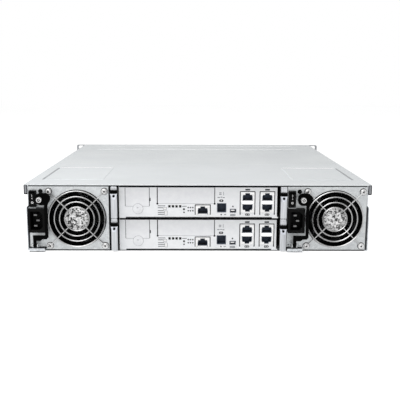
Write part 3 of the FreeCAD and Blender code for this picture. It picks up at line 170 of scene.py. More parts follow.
class Finish:
    """A Principled material with helpers for procedural detail in object space."""

    def __init__(self, name, metallic=0.0, roughness=0.5, **inputs):
        self.material = bpy.data.materials.new(name)
        self.material.use_nodes = True
        self.tree = self.material.node_tree
        self.shader = self.tree.nodes["Principled BSDF"]
        self.shader.inputs["Metallic"].default_value = metallic
        self.shader.inputs["Roughness"].default_value = roughness
        for key, value in inputs.items():
            self.shader.inputs[key.replace("_", " ")].default_value = value
        self.coordinates = self.tree.nodes.new("ShaderNodeTexCoord").outputs["Object"]

    def link(self, output, socket):
        """Join an output to a socket of this material."""
        self.tree.links.new(output, socket)

    def stretched(self, scale):
        """Object coordinates scaled separately along the three axes."""
        mapping = self.tree.nodes.new("ShaderNodeMapping")
        mapping.inputs["Scale"].default_value = scale
        self.link(self.coordinates, mapping.inputs["Vector"])
        return mapping.outputs["Vector"]

    def noise(self, scale, detail=3.0, stretch=(1, 1, 1), roughness=0.55):
        """Fractal noise from 0 to 1, stretched along an axis where its scale is small."""
        node = self.tree.nodes.new("ShaderNodeTexNoise")
        node.inputs["Scale"].default_value = scale
        node.inputs["Detail"].default_value = detail
        node.inputs["Roughness"].default_value = roughness
        self.link(self.stretched(stretch), node.inputs["Vector"])
        return node.outputs["Fac"]

    def cells(self, scale):
        """Random grey per cell, as the spangle of hot-dipped zinc."""
        node = self.tree.nodes.new("ShaderNodeTexVoronoi")
        node.inputs["Scale"].default_value = scale
        self.link(self.coordinates, node.inputs["Vector"])
        split = self.tree.nodes.new("ShaderNodeSeparateColor")
        self.link(node.outputs["Color"], split.inputs["Color"])
        return split.outputs["Red"]

    def ramp(self, fac, low, high, at=(0.3, 0.7)):
        """Colour between two, by a number output."""
        node = self.tree.nodes.new("ShaderNodeValToRGB")
        for element, place, colour in zip(node.color_ramp.elements, at, (low, high)):
            element.position = place
            element.color = colour
        self.link(fac, node.inputs["Fac"])
        return node.outputs["Color"]

    def mixed(self, fac, first, second, kind="MIX"):
        """Blend of two colours or colour outputs by a number or an output."""
        node = self.tree.nodes.new("ShaderNodeMix")
        node.data_type = "RGBA"
        node.blend_type = kind
        for index, value in zip(MIX_INPUTS, (fac, first, second)):
            socket = node.inputs[index]
            if isinstance(value, bpy.types.NodeSocket):
                self.link(value, socket)
            else:
                socket.default_value = value
        return node.outputs[MIX_RESULT]

    def colour(self, output):
        """Use a colour output as the base colour."""
        self.link(output, self.shader.inputs["Base Color"])

    def rough(self, fac, low, high):
        """Vary the roughness between two values."""
        node = self.tree.nodes.new("ShaderNodeMapRange")
        node.inputs["To Min"].default_value = low
        node.inputs["To Max"].default_value = high
        self.link(fac, node.inputs["Value"])
        self.link(node.outputs["Result"], self.shader.inputs["Roughness"])

    def bump(self, height, distance, strength=0.5):
        """Relief of the surface, in metres."""
        node = self.tree.nodes.new("ShaderNodeBump")
        node.inputs["Distance"].default_value = distance
        node.inputs["Strength"].default_value = strength
        self.link(height, node.inputs["Height"])
        self.link(node.outputs["Normal"], self.shader.inputs["Normal"])


def painted(name, light, dark, roughness=0.42):
    """Satin powder coat: fine orange peel, faint clouding."""
    finish = Finish(name, 0.0, roughness, Specular_IOR_Level=0.3)
    finish.colour(finish.ramp(finish.noise(9, 4), dark, light, (0.35, 0.65)))
    finish.rough(finish.noise(260, 2), roughness - 0.06, roughness + 0.08)
    finish.bump(finish.noise(1500, 2), 0.00008, 0.35)
    return finish.material


def glazed(name, light, dark):
    """Smooth coat on a rolled fold, which shines when seen along the sheet."""
    finish = Finish(name, 0.0, 0.2, Specular_IOR_Level=1.0, Coat_Weight=1.0, Coat_Roughness=0.12,
                    Coat_IOR=2.2)
    finish.colour(finish.ramp(finish.noise(60, 3), dark, light, (0.35, 0.65)))
    finish.bump(finish.noise(900, 2), 0.00002, 0.2)
    return finish.material


def top_shaded_coat(name, light, dark, roughness=0.4):
    """Satin coat of a canister's face, with painted shade darkening it towards each faceplate's top."""
    finish = Finish(name, 0.0, roughness, Specular_IOR_Level=0.3)
    split = finish.tree.nodes.new("ShaderNodeSeparateXYZ")
    finish.link(finish.coordinates, split.inputs["Vector"])
    level = finish.tree.nodes.new("ShaderNodeMath")
    level.operation = "MODULO"
    level.inputs[1].default_value = CANISTER_PITCH * MM
    finish.link(split.outputs["Z"], level.inputs[0])
    share = finish.tree.nodes.new("ShaderNodeMapRange")
    share.inputs["From Max"].default_value = CANISTER_PITCH * MM
    finish.link(level.outputs["Value"], share.inputs["Value"])
    # Painted shade: the colour darkens towards the top of each faceplate.
    shade = finish.ramp(share.outputs["Result"], srgb(255), srgb(232), (0.45, 0.97))
    cloud = finish.ramp(finish.noise(140, 4), dark, light, (0.35, 0.65))
    finish.colour(finish.mixed(1.0, cloud, shade, "MULTIPLY"))
    finish.rough(finish.noise(260, 2), roughness - 0.06, roughness + 0.08)
    finish.bump(finish.noise(1500, 2), 0.00008, 0.35)
    return finish.material


def zinc(name, light, dark, roughness=0.42):
    """Zinc-coated sheet: faint spangle, fine dark speckle and rolling lines."""
    finish = Finish(name, 0.55, roughness)
    spangle = finish.ramp(finish.cells(330), dark, light, (0.0, 1.0))
    speckle = finish.ramp(finish.noise(1100, 4), srgb(168), srgb(255), (0.36, 0.46))
    finish.colour(finish.mixed(0.5, spangle, speckle, "MULTIPLY"))
    finish.rough(finish.cells(330), roughness - 0.05, roughness + 0.08)
    finish.bump(finish.noise(1200, 3), 0.00005, 0.35)
    return finish.material


def brushed(name, light, dark, stretch, roughness=0.28):
    """Bright plated metal with grain along one direction."""
    finish = Finish(name, 1.0, roughness)
    grain = finish.noise(60, 3, stretch)
    finish.colour(finish.ramp(grain, dark, light))
    finish.rough(grain, roughness - 0.08, roughness + 0.12)
    finish.bump(grain, 0.00004, 0.3)
    return finish.material


def moulded(name, light, dark, roughness=0.45, grain=1400, gloss=0.06):
    """Injection-moulded plastic with a spark-eroded grain."""
    finish = Finish(name, 0.0, roughness, Specular_IOR_Level=gloss)
    finish.colour(finish.ramp(finish.noise(180, 3), dark, light))
    finish.rough(finish.noise(500, 2), roughness - 0.08, roughness + 0.1)
    finish.bump(finish.noise(grain, 2), 0.00008, 0.4)
    return finish.material


def circuit(name):
    """Green solder mask with copper tracks showing through as lighter lines."""
    finish = Finish(name, 0.0, 0.35, Coat_Weight=0.4, Coat_Roughness=0.15)
    tracks = finish.ramp(finish.noise(420, 0, (1, 0.08, 1)), srgb(12, 62, 38), srgb(30, 96, 60),
                         (0.47, 0.53))
    finish.colour(finish.mixed(finish.noise(60, 3), tracks, srgb(16, 78, 46)))
    finish.bump(finish.noise(420, 0, (1, 0.08, 1)), 0.00005, 0.4)
    return finish.material


def foil(name):
    """Crinkled silver foil of the fan's hub disc."""
    finish = Finish(name, 0.75, 0.35)
    blotch = finish.ramp(finish.noise(420, 4, roughness=0.68), srgb(48), srgb(208), (0.44, 0.53))
    finish.colour(blotch)
    finish.rough(finish.noise(400, 3), 0.25, 0.5)
    finish.bump(finish.noise(260, 4), 0.0005, 0.6)
    return finish.material


def ink(name, light, dark):
    """Screen print: slightly uneven, matt."""
    finish = Finish(name, 0.0, 0.6)
    finish.colour(finish.ramp(finish.noise(1600, 2), dark, light))
    finish.bump(finish.noise(2500, 1), 0.00002, 0.3)
    return finish.material


def lens(name, light, dark):
    """Moulded light pipe or lamp lens."""
    finish = Finish(name, 0.0, 0.3, Specular_IOR_Level=0.25)
    finish.colour(finish.ramp(finish.noise(700, 2), dark, light))
    finish.bump(finish.noise(900, 2), 0.00004, 0.3)
    return finish.material


COVER_REAR = painted("cover_paint_rear", srgb(231, 235, 237), srgb(225, 229, 231))
# The front cover's paint is a slightly darker copy of the rear cover's, as painted shade.
COVER_FRONT_SHADED = painted("cover_paint_front_shaded", srgb(231, 235, 236), srgb(223, 227, 229))
FOLD_LIGHT = glazed("fold_highlight", srgb(228, 232, 234), srgb(218, 222, 224))
WHITE_METAL = brushed("white_metal", srgb(255), srgb(247), (1, 1, 1), 0.25)
# Painted shade for the fold sides turned from the light.
FOLD_DARK = painted("fold_shade", srgb(176, 179, 182), srgb(150, 153, 156), 0.5)
# Canister and panel paints carry painted shade towards the top of each faceplate.
CANISTER = top_shaded_coat("canister_paint", srgb(243, 244, 246), srgb(237, 239, 241))
PANEL = top_shaded_coat("panel_paint_top_shaded", srgb(241, 242, 244), srgb(234, 235, 238))
EAR = painted("ear_paint", srgb(182, 184, 187), srgb(168, 170, 174), 0.5)
FOLD_END = painted("fold_end", srgb(158, 160, 164), srgb(128, 130, 134), 0.5)
GALVANISED = zinc("galvanised_steel", srgb(222, 225, 228), srgb(196, 200, 204))
# Zinc darkened as painted shade for the canister cage deep inside the shelf.
CAGE_STEEL_SHADED = zinc("cage_steel_painted_shade", srgb(62, 64, 68), srgb(44, 46, 50), 0.6)
ZINC = zinc("zinc_steel", srgb(203, 206, 207), srgb(185, 188, 190))
CHROME = brushed("chrome_wire", srgb(204), srgb(160), (1, 1, 1), 0.34)
NICKEL = brushed("nickel", srgb(218), srgb(178), (1, 8, 1), 0.25)
# Nickel darkened as painted shade for the blades deep in the inlet.
PIN_SHADED = brushed("contact_pin_shaded", srgb(120), srgb(84), (1, 8, 1), 0.35)
HANDLE = brushed("handle_steel", srgb(190, 192, 195), srgb(160, 162, 166), (9, 9, 0.4), 0.3)
STRAP = brushed("strap_steel", srgb(204, 207, 213), srgb(166, 169, 177), (6, 6, 1), 0.3)
PORT_METAL = brushed("port_metal", srgb(218), srgb(190), (1, 1, 6), 0.3)
BLACK = moulded("black_plastic", srgb(12), srgb(7))
BLACK_PAINT = moulded("black_lever", srgb(5), srgb(2), 0.4, 900, 0.02)
PORT_DARK = moulded("port_insert", srgb(98, 106, 120), srgb(72, 80, 94), 0.5)
CONTACT = brushed("contact_spring", srgb(86, 76, 62), srgb(58, 52, 46), (1, 6, 1), 0.4)
# Black for painted shade in pockets, gaps, holes and recesses, and round the guard's eyes.
SHADE_BLACK = moulded("painted_shade_black", srgb(20, 21, 24), srgb(11, 12, 14), 0.8)
BOARD = circuit("circuit_board")
CARRIER = moulded("carrier_plastic", srgb(46, 46, 48), srgb(34, 34, 36), 0.5, 1100)
LATCH = moulded("latch_plastic", srgb(92, 94, 98), srgb(76, 78, 82), 0.42)
DISK = brushed("disk_metal", srgb(150), srgb(122), (5, 0.4, 5), 0.6)
FOIL = foil("fan_foil")
INK_DARK = ink("ink_dark", srgb(34, 36, 42), srgb(20, 22, 28))
INK_GREY = ink("ink_grey", srgb(130, 132, 138), srgb(106, 108, 114))
INK_MID = ink("ink_mid", srgb(74, 76, 84), srgb(52, 54, 62))
INK_WHITE = ink("ink_white", srgb(250), srgb(228))
EDGE_FAINT = moulded("edge_shadow", srgb(188, 189, 192), srgb(170, 171, 174), 0.7)
LENS_DARK = lens("lens_dark", srgb(18, 20, 20), srgb(8, 9, 10))
LENS_SMOKE = lens("lens_smoke", srgb(92, 94, 96), srgb(64, 66, 68))
LENS_GREEN = lens("lens_green", srgb(120, 190, 130), srgb(90, 160, 104))
SEAM = moulded("seam_shadow", srgb(40, 41, 46), srgb(26, 27, 32), 0.7)
SEAM_SOFT = moulded("seam_half_shadow", srgb(112, 114, 118), srgb(92, 94, 98), 0.7)


# ---------------------------------------------------------------- finishes of the CAD nodes

def solids(node):
    """The separate solids of a node, each as its lowest corner, highest corner and faces."""
    mesh = NODES[node].data
    owner = {}
    place = [tuple(round(c, 6) for c in v.co) for v in mesh.vertices]

    def root(key):
        while owner.setdefault(key, key) != key:
            owner[key] = owner[owner[key]]
            key = owner[key]
        return key

    for face in mesh.polygons:
        first = root(place[face.vertices[0]])
        for index in face.vertices[1:]:
            owner[root(place[index])] = first
    groups = {}
    for face in mesh.polygons:
        groups.setdefault(root(place[face.vertices[0]]), []).append(face)
    found = []
    for faces in groups.values():
        corners = [mesh.vertices[i].co for face in faces for i in face.vertices]
        low = in_millimetres(min(c[i] for c in corners) for i in range(3))
        high = in_millimetres(max(c[i] for c in corners) for i in range(3))
        found.append((low, high, faces))
    return sorted(found, key=lambda item: item[0])


def dress(node, *materials):
    """Give a node its finishes, the first one on every face, and soft shading over its curves."""
    mesh = NODES[node].data
    mesh.materials.clear()
    for material in materials:
        mesh.materials.append(material)
    for face in mesh.polygons:
        face.material_index = 0
    mesh.shade_smooth()
    mesh.set_sharp_from_angle(angle=math.radians(32))


def centre(face):
    """Middle of a face, in millimetres."""
    return in_millimetres(face.center)


def paint(faces, index, chosen=lambda face: True):
    """Give the chosen faces the node's finish of that index."""
    for face in faces:
        if chosen(face):
            face.material_index = index


def dress_chassis():
    """Lid, ears, tray and cages, the canister cage in painted shade, and the midplane with its black
    sockets on both sides.
    """
    dress("rear_cover", COVER_REAR)
    dress("front_cover", COVER_FRONT_SHADED)
    for side in SIDES:
        dress(f"rack_ear_{side}", EAR)
    for node in ("chassis_tray", "drive_cage"):
        dress(node, GALVANISED)
    # Painted shade: the canister cage is given dark steel.
    dress("canister_cage", CAGE_STEEL_SHADED)
    dress("midplane_board", BOARD, BLACK)
    low, high = extent("midplane_board")
    board_front, board_rear = high.y - 5.4, low.y + 9.9
    paint(NODES["midplane_board"].data.polygons, 1,
          lambda face: centre(face).y > board_front or centre(face).y < board_rear)


def dress_supply(name):
    """Zinc casing, black mouldings and fan, chromed guard, and the inlet's blades in painted shade."""
    dress(f"{name}_casing", ZINC)
    for part in ("fan_frame", "fan_rotor", "rocker"):
        dress(f"{name}_{part}", BLACK)
    dress(f"{name}_fan_guard", CHROME)
    dress(f"{name}_lever", BLACK_PAINT)
    dress(f"{name}_power_entry", BLACK, PIN_SHADED)
    widest_blade, tallest_blade = 4.5, 2.5
    for low, high, faces in solids(f"{name}_power_entry"):
        if high.x - low.x < widest_blade and high.z - low.z < tallest_blade:
            paint(faces, 1)


def dress_board(name):
    """Circuit board in green, its ports in metal and plastic, each with a darker mouth."""
    dress(f"{name}_board", PORT_METAL, BOARD, PORT_DARK, INK_GREY)
    thickest_board, narrowest_shield, widest_slim_port = 2, 15, 9
    wall, mouth_start, mouth_end = 0.4, 0.2, 14.5
    for low, high, faces in solids(f"{name}_board"):
        if high.z - low.z < thickest_board:
            paint(faces, 1)
            continue
        if high.x - low.x < narrowest_shield:
            paint(faces, 2)
        bore = 3 if high.x - low.x < widest_slim_port else 2
        paint(faces, bore, lambda face: low.y + mouth_start < centre(face).y < low.y + mouth_end
              and low.x + wall < centre(face).x < high.x - wall
              and low.z + wall < centre(face).z < high.z - wall)


def dress_controller(name):
    """Painted housing and panels with painted shade in the pockets beside the handles, boards and handles.
    """
    dress(f"{name}_housing", CANISTER, SHADE_BLACK)
    pocket_start, pocket_end = REAR_Y + 0.3, REAR_Y + 25
    face_left = extent(f"{name}_handle_left")[1].x + 1
    face_right = extent(f"{name}_handle_right")[0].x - 1
    # Painted shade on the pocket faces beside the handles.
    paint(NODES[f"{name}_housing"].data.polygons, 1,
          lambda face: pocket_start < centre(face).y < pocket_end
          and not face_left < centre(face).x < face_right)
    dress(f"{name}_slot_cover", PANEL)
    dress(f"{name}_battery", PANEL)
    dress_board(name)
    for side in SIDES:
        node = f"{name}_handle_{side}"
        dress(node, HANDLE, BLACK_PAINT, STRAP, SEAM)
        collar = min(solids(node), key=lambda item: item[1].z - item[0].z)
        strap = [face for face in NODES[node].data.polygons if centre(face).y < STRAP_BACK]
        # Painted shadow on the strap's edges; only its rear face keeps the strap steel.
        paint(strap, 3)
        paint(strap, 2, lambda face: face.normal.y < -0.9)
        paint(collar[2], 1)


def dress_drive(name):
    """Dark carrier with its bare metal disk, and the lighter latch."""
    dress(f"{name}_carrier", CARRIER, DISK)
    bezel = FRONT_Y - 10
    disk = max(solids(f"{name}_carrier"),
               key=lambda item: item[1].z - item[0].z if item[1].y < bezel else 0)
    paint(disk[2], 1)
    dress(f"{name}_latch", LATCH)


# ---------------------------------------------------------------- building pieces

def as_piece(name, body, material, mesh_data):
    """Turn a bmesh into a piece that rides on a body."""
    mesh = bpy.data.meshes.new(name)
    mesh_data.to_mesh(mesh)
    mesh_data.free()
    mesh.materials.append(material)
    piece = bpy.data.objects.new(name, mesh)
    bpy.context.scene.collection.objects.link(piece)
    mesh.shade_smooth()
    mesh.set_sharp_from_angle(angle=math.radians(35))
    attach(piece, body)
    return piece


def shift(x, y, z):
    """Move by millimetres."""
    return Matrix.Translation(in_metres(x, y, z))


def spin(angle):
    """Turn about Z."""
    return Matrix.Rotation(angle, 4, "Z")


def towards(axis):
    """Turn +Z into an outward direction."""
    return Vector(axis).to_track_quat("Z", "Y").to_matrix().to_4x4()


def on_rear(x, z, y=REAR_Y):
    """Place on the rear face: plate X to the right, plate Y up, out towards -Y."""
    return shift(x, y, z) @ Matrix.Rotation(math.pi / 2, 4, "X")


def on_face(node, x, z):
    """Place on whatever face of a node looks out to the rear at a point, following its tilt."""
    mesh = NODES[node].data
    tree = BVHTree.FromPolygons([v.co for v in mesh.vertices], [f.vertices for f in mesh.polygons])
    start = in_metres(x, extent(node)[0].y - 10, z)
    place, out, _, _ = tree.ray_cast(start, Vector((0, 1, 0)))
    across = Vector((0, 0, 1)).cross(out).normalized()
    turn = Matrix((across, out.cross(across), out)).transposed().to_4x4()
    return Matrix.Translation(place) @ turn


def add_loop(mesh, matrix, points, height):
    """Vertices through (x, y) points at one height."""
    return [mesh.verts.new(matrix @ in_metres(x, y, height)) for x, y in points]


def bridge(mesh, lower, upper):
    """Band of faces between two loops, either of which may be a single point."""
    steps = max(len(lower), len(upper))
    for i in range(steps):
        j = (i + 1) % steps
        corners = (lower[i % len(lower)], lower[j % len(lower)], upper[j % len(upper)],
                   upper[i % len(upper)])
        unique = list(dict.fromkeys(corners))
        if len(unique) > 2:
            mesh.faces.new(unique)


def polar(reaches):
    """Points round a centre at equal turns, one for each reach."""
    turns = [2 * math.pi * i / len(reaches) for i in range(len(reaches))]
    return [(reach * math.cos(turn), reach * math.sin(turn)) for reach, turn in zip(reaches, turns)]


def add_turned(mesh, outline, matrix, steps=24):
    """Revolve (radius, height) pairs about Z and put the result where the matrix says."""
    loops = [add_loop(mesh, matrix, polar([radius] * (steps if radius else 1)), height)
             for radius, height in outline]
    for lower, upper in zip(loops, loops[1:]):
        bridge(mesh, lower, upper)


def add_plate(mesh, matrix, width, height, thick, corner=SMALL_CORNER):
    """A rounded rectangle standing up from z = 0, centred on the matrix's origin."""
    sliver, steps = 0.001, 4
    corner = max(min(corner, width / 2 - sliver, height / 2 - sliver), sliver)
    ring = []
    for quarter, (sx, sy) in enumerate(((1, 1), (-1, 1), (-1, -1), (1, -1))):
        for i in range(steps + 1):
            angle = math.pi / 2 * (quarter + i / steps)
            ring.append((sx * (width / 2 - corner) + corner * math.cos(angle),
                         sy * (height / 2 - corner) + corner * math.sin(angle)))
    edge = min(corner, thick) * 0.35
    shrunk = [(x * (1 - 2 * edge / width), y * (1 - 2 * edge / height)) for x, y in ring]
    low = add_loop(mesh, matrix, ring, 0)
    middle = add_loop(mesh, matrix, ring, thick - edge)
    top = add_loop(mesh, matrix, shrunk, thick)
    bridge(mesh, low, middle)
    bridge(mesh, middle, top)
    mesh.faces.new(top)
    mesh.faces.new(low[::-1])


# ---------------------------------------------------------------- power supply pieces

def supply_origin(name):
    """Lower left corner of the casing."""
    low, _ = extent(f"{name}_casing")
    return low.x, low.z


def guard_screws(name):
    """Pan heads over the guard's four eyes, with painted shade in their cross recesses and round each eye.
    """
    low, high = extent(f"{name}_fan_guard")
    heads, dark = bmesh.new(), bmesh.new()
    head = [(1.9, 0), (1.9, 1.65), (3.2, 1.7), (3.15, 2.2), (2.6, 2.7), (1.5, 2.95), (1.35, 2.4), (0, 2.3)]
    for x in (low.x + EYE_INSET, high.x - EYE_INSET):
        for z in (low.z + EYE_INSET, high.z - EYE_INSET):
            # Painted shadow round each eye.
            add_turned(dark, [(4.7, 0), (4.6, 0.15), (0, 0.2)], on_rear(x, z))
            add_turned(heads, head, on_rear(x, z), 28)
            # Painted shade in the cross recess.
            for turn in CROSS_TURNS:
                add_plate(dark, on_rear(x, z, REAR_Y - 2.45) @ spin(turn), 3.3, 0.8, 0.45)
    as_piece(f"{name}_guard_screws", name, NICKEL, heads)
    as_piece(f"{name}_guard_eye_shadows", name, SHADE_BLACK, dark)


def hub_disc(name):
    """Foil disc on the fan's hub, with a raised ring and a few pressed folds."""
    low, high = extent(f"{name}_fan_guard")
    plate = extent(f"{name}_fan_frame")[0].y + 0.8
    outline = [(15.6, 0), (15.6, 0.15), (15.0, 0.3), (11, 0.32), (10.6, 0.55), (10.0, 0.36), (5.0, 0.34),
               (0, 0.5)]
    mesh = bmesh.new()
    add_turned(mesh, outline, on_rear((low.x + high.x) / 2, (low.z + high.z) / 2, plate), 48)
    as_piece(f"{name}_hub_disc", name, FOIL, mesh)


def rocker_marks(name):
    """Line and ring of the on and off positions, on the two halves of the rocker."""
    node = f"{name}_rocker"
    low, high = extent(node)
    x, middle = (low.x + high.x) / 2, (low.z + high.z) / 2
    mesh = bmesh.new()
    add_plate(mesh, on_face(node, x, middle + 4.8), 0.55, 3.4, 0.15)
    add_plate(mesh, on_face(node, x, middle + 0.9), 1.1, 1.3, 0.15, 0.3)
    add_turned(mesh, [(1.5, 0), (1.5, 0.15), (0.8, 0.15), (0.8, 0)], on_face(node, x, middle - 4.4))
    as_piece(f"{name}_rocker_marks", node, INK_WHITE, mesh)


def supply_lamp(name):
    """Lamp lens in a black ring."""
    x0, z0 = supply_origin(name)
    place = on_rear(x0 + SUPPLY_LAMP[0], z0 + SUPPLY_LAMP[1])
    ring, mesh = bmesh.new(), bmesh.new()
    add_turned(ring, [(2.9, 0), (2.85, 0.5), (2.2, 0.8), (1.3, 0.8), (1.2, 0)], place)
    as_piece(f"{name}_lamp_ring", name, BLACK, ring)
    add_turned(mesh, [(1.2, 0), (1.15, 0.3), (0.8, 0.65), (0, 0.8)], place)
    as_piece(f"{name}_lamp", name, LENS_SMOKE, mesh)


def inlet_lip(name):
    """Folded edge of the casing over the power inlet."""
    x0, z0 = supply_origin(name)
    mesh = bmesh.new()
    add_plate(mesh, shift(x0 + INLET_LIP[0], REAR_Y - 3.2, z0 + INLET_LIP[1]), 10.0, 6.4, 0.5, 0.4)
    as_piece(f"{name}_inlet_lip", name, ZINC, mesh)


def thumbscrew_head(name):
    """Knurled head with a recessed cross, on a plain shank, in place of the plain turned one."""
    node = f"{name}_thumbscrew"
    low, high = extent(node)
    radius = (high.x - low.x) / 2
    turn = on_rear((low.x + high.x) / 2, (low.z + high.z) / 2, high.y)
    length = high.y - low.y
    start = length - THUMB_HEAD
    mesh = bmesh.new()
    # Height, share of the radius, and depth of the knurls as a share of the radius.
    profile = ((start, 0.8, 0.07), (start + 0.6, 1.0, 0.07), (length - 0.6, 1.0, 0.07),
               (length, 0.88, 0.05), (length, 0.62, 0), (length - 1.6, 0.58, 0))
    loops = [add_loop(mesh, turn, polar([radius * (share - (depth if i % 2 else 0))
                                         for i in range(KNURL_POINTS)]), height)
             for height, share, depth in profile]
    for lower, upper in zip(loops, loops[1:]):
        bridge(mesh, lower, upper)
    mesh.faces.new(loops[0][::-1])
    for angle in CROSS_TURNS:
        add_plate(mesh, turn @ shift(0, 0, length - 1.55) @ spin(angle), radius * 1.12, radius * 0.16, 0.7,
                  0)
    add_turned(mesh, [(0, 0), (1.2, 0), (1.6, 0.4), (1.6, start)], turn)
    piece = as_piece(f"{name}_thumbscrew_knurled", node, NICKEL, mesh)
    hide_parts(node)
    # Painted shade on the floor of the cross recess.
    floor = bmesh.new()
    add_turned(floor, [(radius * 0.58, 0), (radius * 0.5, 0.1), (0, 0.05)],
               turn @ shift(0, 0, length - 1.65))
    as_piece(f"{name}_thumbscrew_recess_shade", node, SHADE_BLACK, floor)


def supply_rivets(name):
    """Small flat rivets near the lower corners of the face."""
    x0, z0 = supply_origin(name)
    left, right = x0 + RIVET_MARGINS[0], extent(f"{name}_casing")[1].x - RIVET_MARGINS[1]
    mesh = bmesh.new()
    for x in (left, right):
        add_turned(mesh, [(0.9, 0), (0.8, 0.15), (0, 0.2)], on_rear(x, z0 + RIVET_LEVEL), 16)
    as_piece(f"{name}_face_dots", name, INK_DARK, mesh)


# ---------------------------------------------------------------- controller pieces

def face_origin(name):
    """Lower left corner of the faceplate."""
    return extent(f"{name}_slot_cover")[0].x - SLOT_LEFT, extent(f"{name}_housing")[0].z


def face_place(name, x, z, out=0.0):
    """Place on the faceplate, out from it or, with a negative number, behind it."""
    x0, z0 = face_origin(name)
    return on_rear(x0 + x, z0 + z, REAR_Y - out)


def face_lamps(name):
    """Dark square lamp windows, and the round ones beside them."""
    mesh = bmesh.new()
    for x in FACE_LAMPS:
        add_plate(mesh, face_place(name, x, LAMP_ROW), 3.0, 3.1, 0.3, 0.4)
    for x, z, radius in ROUND_LAMPS:
        add_turned(mesh, [(radius, 0), (radius * 0.9, 0.25), (0, 0.35)], face_place(name, x, z), 20)
    as_piece(f"{name}_lamps", name, LENS_DARK, mesh)


def face_dots(name):
    """Two rows of small printed dots."""
    mesh = bmesh.new()
    for x in DOT_COLUMNS:
        for z in DOT_ROWS:
            add_turned(mesh, [(1.0, 0), (0.9, 0.1), (0, 0.12)], face_place(name, x, z), 16)
    as_piece(f"{name}_dots", name, INK_DARK, mesh)


def face_strokes(name):
    """Plain strokes, rows and boxes where the panel has small print."""
    grey, dark, pale = bmesh.new(), bmesh.new(), bmesh.new()
    for left, width, z in STROKES:
        add_plate(grey, face_place(name, left + width / 2, z), width, 1.0, PRINT)
    for left, width, z in PRINT_ROWS:
        add_plate(dark, face_place(name, left + width / 2, z, PRINT), width, 0.8, 0.05)
    for x, z, width, height in PRINT_BOXES:
        add_plate(pale, face_place(name, x, z), width, height, 0.1)
        add_plate(grey, face_place(name, x, z), width + 0.8, height + 0.8, 0.05)
    as_piece(f"{name}_print_rows", name, INK_MID, dark)
    as_piece(f"{name}_print_boxes", name, INK_WHITE, pale)
    add_plate(grey, face_place(name, *SERVICE_BAR), 0.6, 4.6, PRINT)
    as_piece(f"{name}_strokes", name, INK_GREY, grey)


def port_labels(name):
    """Dark tabs over and under the network jacks and over the service port, with pale strokes."""
    dark, pale = bmesh.new(), bmesh.new()
    for x in PORT_LABELS:
        add_plate(dark, face_place(name, x, OVER_PORTS), 6.0, 2.1, LABEL)
        add_plate(dark, face_place(name, x, UNDER_PORTS), 6.2, 2.8, LABEL, 1.3)
        for side in (-1.4, 1.4):
            add_plate(pale, face_place(name, x + side, UNDER_PORTS, LABEL), 1.2, 1.0, 0.05)
    add_plate(dark, face_place(name, *SERVICE_OVAL), 5.6, 3.1, LABEL, 1.4)
    add_plate(pale, face_place(name, *SERVICE_OVAL, LABEL), 1.8, 1.0, 0.2, 0.45)
    as_piece(f"{name}_label_tabs", name, INK_DARK, dark)
    as_piece(f"{name}_label_strokes", name, INK_WHITE, pale)


def network_jacks(name):
    """Corners of each network jack, with the level of each mouth and the side its notch is on."""
    for low, high, _ in solids(f"{name}_board"):
        if JACK_WIDTHS[0] < high.x - low.x < JACK_WIDTHS[1]:
            if high.z - low.z > PAIR_HEIGHT:
                yield low, high, ((high.z - UPPER_MOUTH, 1), (high.z - LOWER_MOUTH, -1))
            else:
                yield low, high, ((low.z + SINGLE_MOUTH, 1),)


def jack_contacts(name):
    """Eight sprung contacts in each network jack."""
    mesh = bmesh.new()
    for low, high, mouths in network_jacks(name):
        for level, up in mouths:
            for i in range(CONTACT_COUNT):
                x = (low.x + high.x) / 2 + (i - (CONTACT_COUNT - 1) / 2) * CONTACT_PITCH
                add_plate(mesh, on_rear(x, level + up * 1.1, REAR_Y + 9.0), 0.45, 0.5, 4.5, 0.1)
    as_piece(f"{name}_contacts", name, CONTACT, mesh)


def jack_shadow_rims(name):
    """Painted shadow round the jacks' shields, the inserts' edges, bright bands and the console tongue."""
    gaps, inserts, bands, tongue = bmesh.new(), bmesh.new(), bmesh.new(), bmesh.new()
    foot = face_origin(name)[1] + JACK_RIMS_FOOT
    rim, rim_out = 1.3, 0.5
    for low, high, mouths in network_jacks(name):
        bottom = max(low.z, foot)
        middle = (low.x + high.x) / 2
        # Painted shadow down both sides and over the top of each shield.
        for x in (low.x - rim_out, high.x + rim_out):
            add_plate(gaps, on_rear(x, (bottom + high.z) / 2), rim, high.z - bottom, 0.1)
        add_plate(gaps, on_rear(middle, high.z + rim_out), high.x - low.x + 2, rim, 0.1)
        if len(mouths) == 2:
            add_plate(bands, on_rear(middle, high.z - PAIR_BAND, low.y), 14.0, 3.4, LABEL, 0.3)
        for level, up in mouths:
            for side in (-6.2, 6.2):
                add_plate(inserts, on_rear(middle + side, level + up * 2.3, low.y), 0.6, 7.0, 0.1)
    as_piece(f"{name}_jack_shadow_rims", name, SEAM, gaps)
    as_piece(f"{name}_jack_inserts", name, PORT_DARK, inserts)
    as_piece(f"{name}_jack_bands", name, WHITE_METAL, bands)
    add_plate(tongue, face_place(name, *CONSOLE_PORT, -0.6), 5.0, 1.5, 0.4, 0.3)
    as_piece(f"{name}_console_tongue", name, PORT_METAL, tongue)


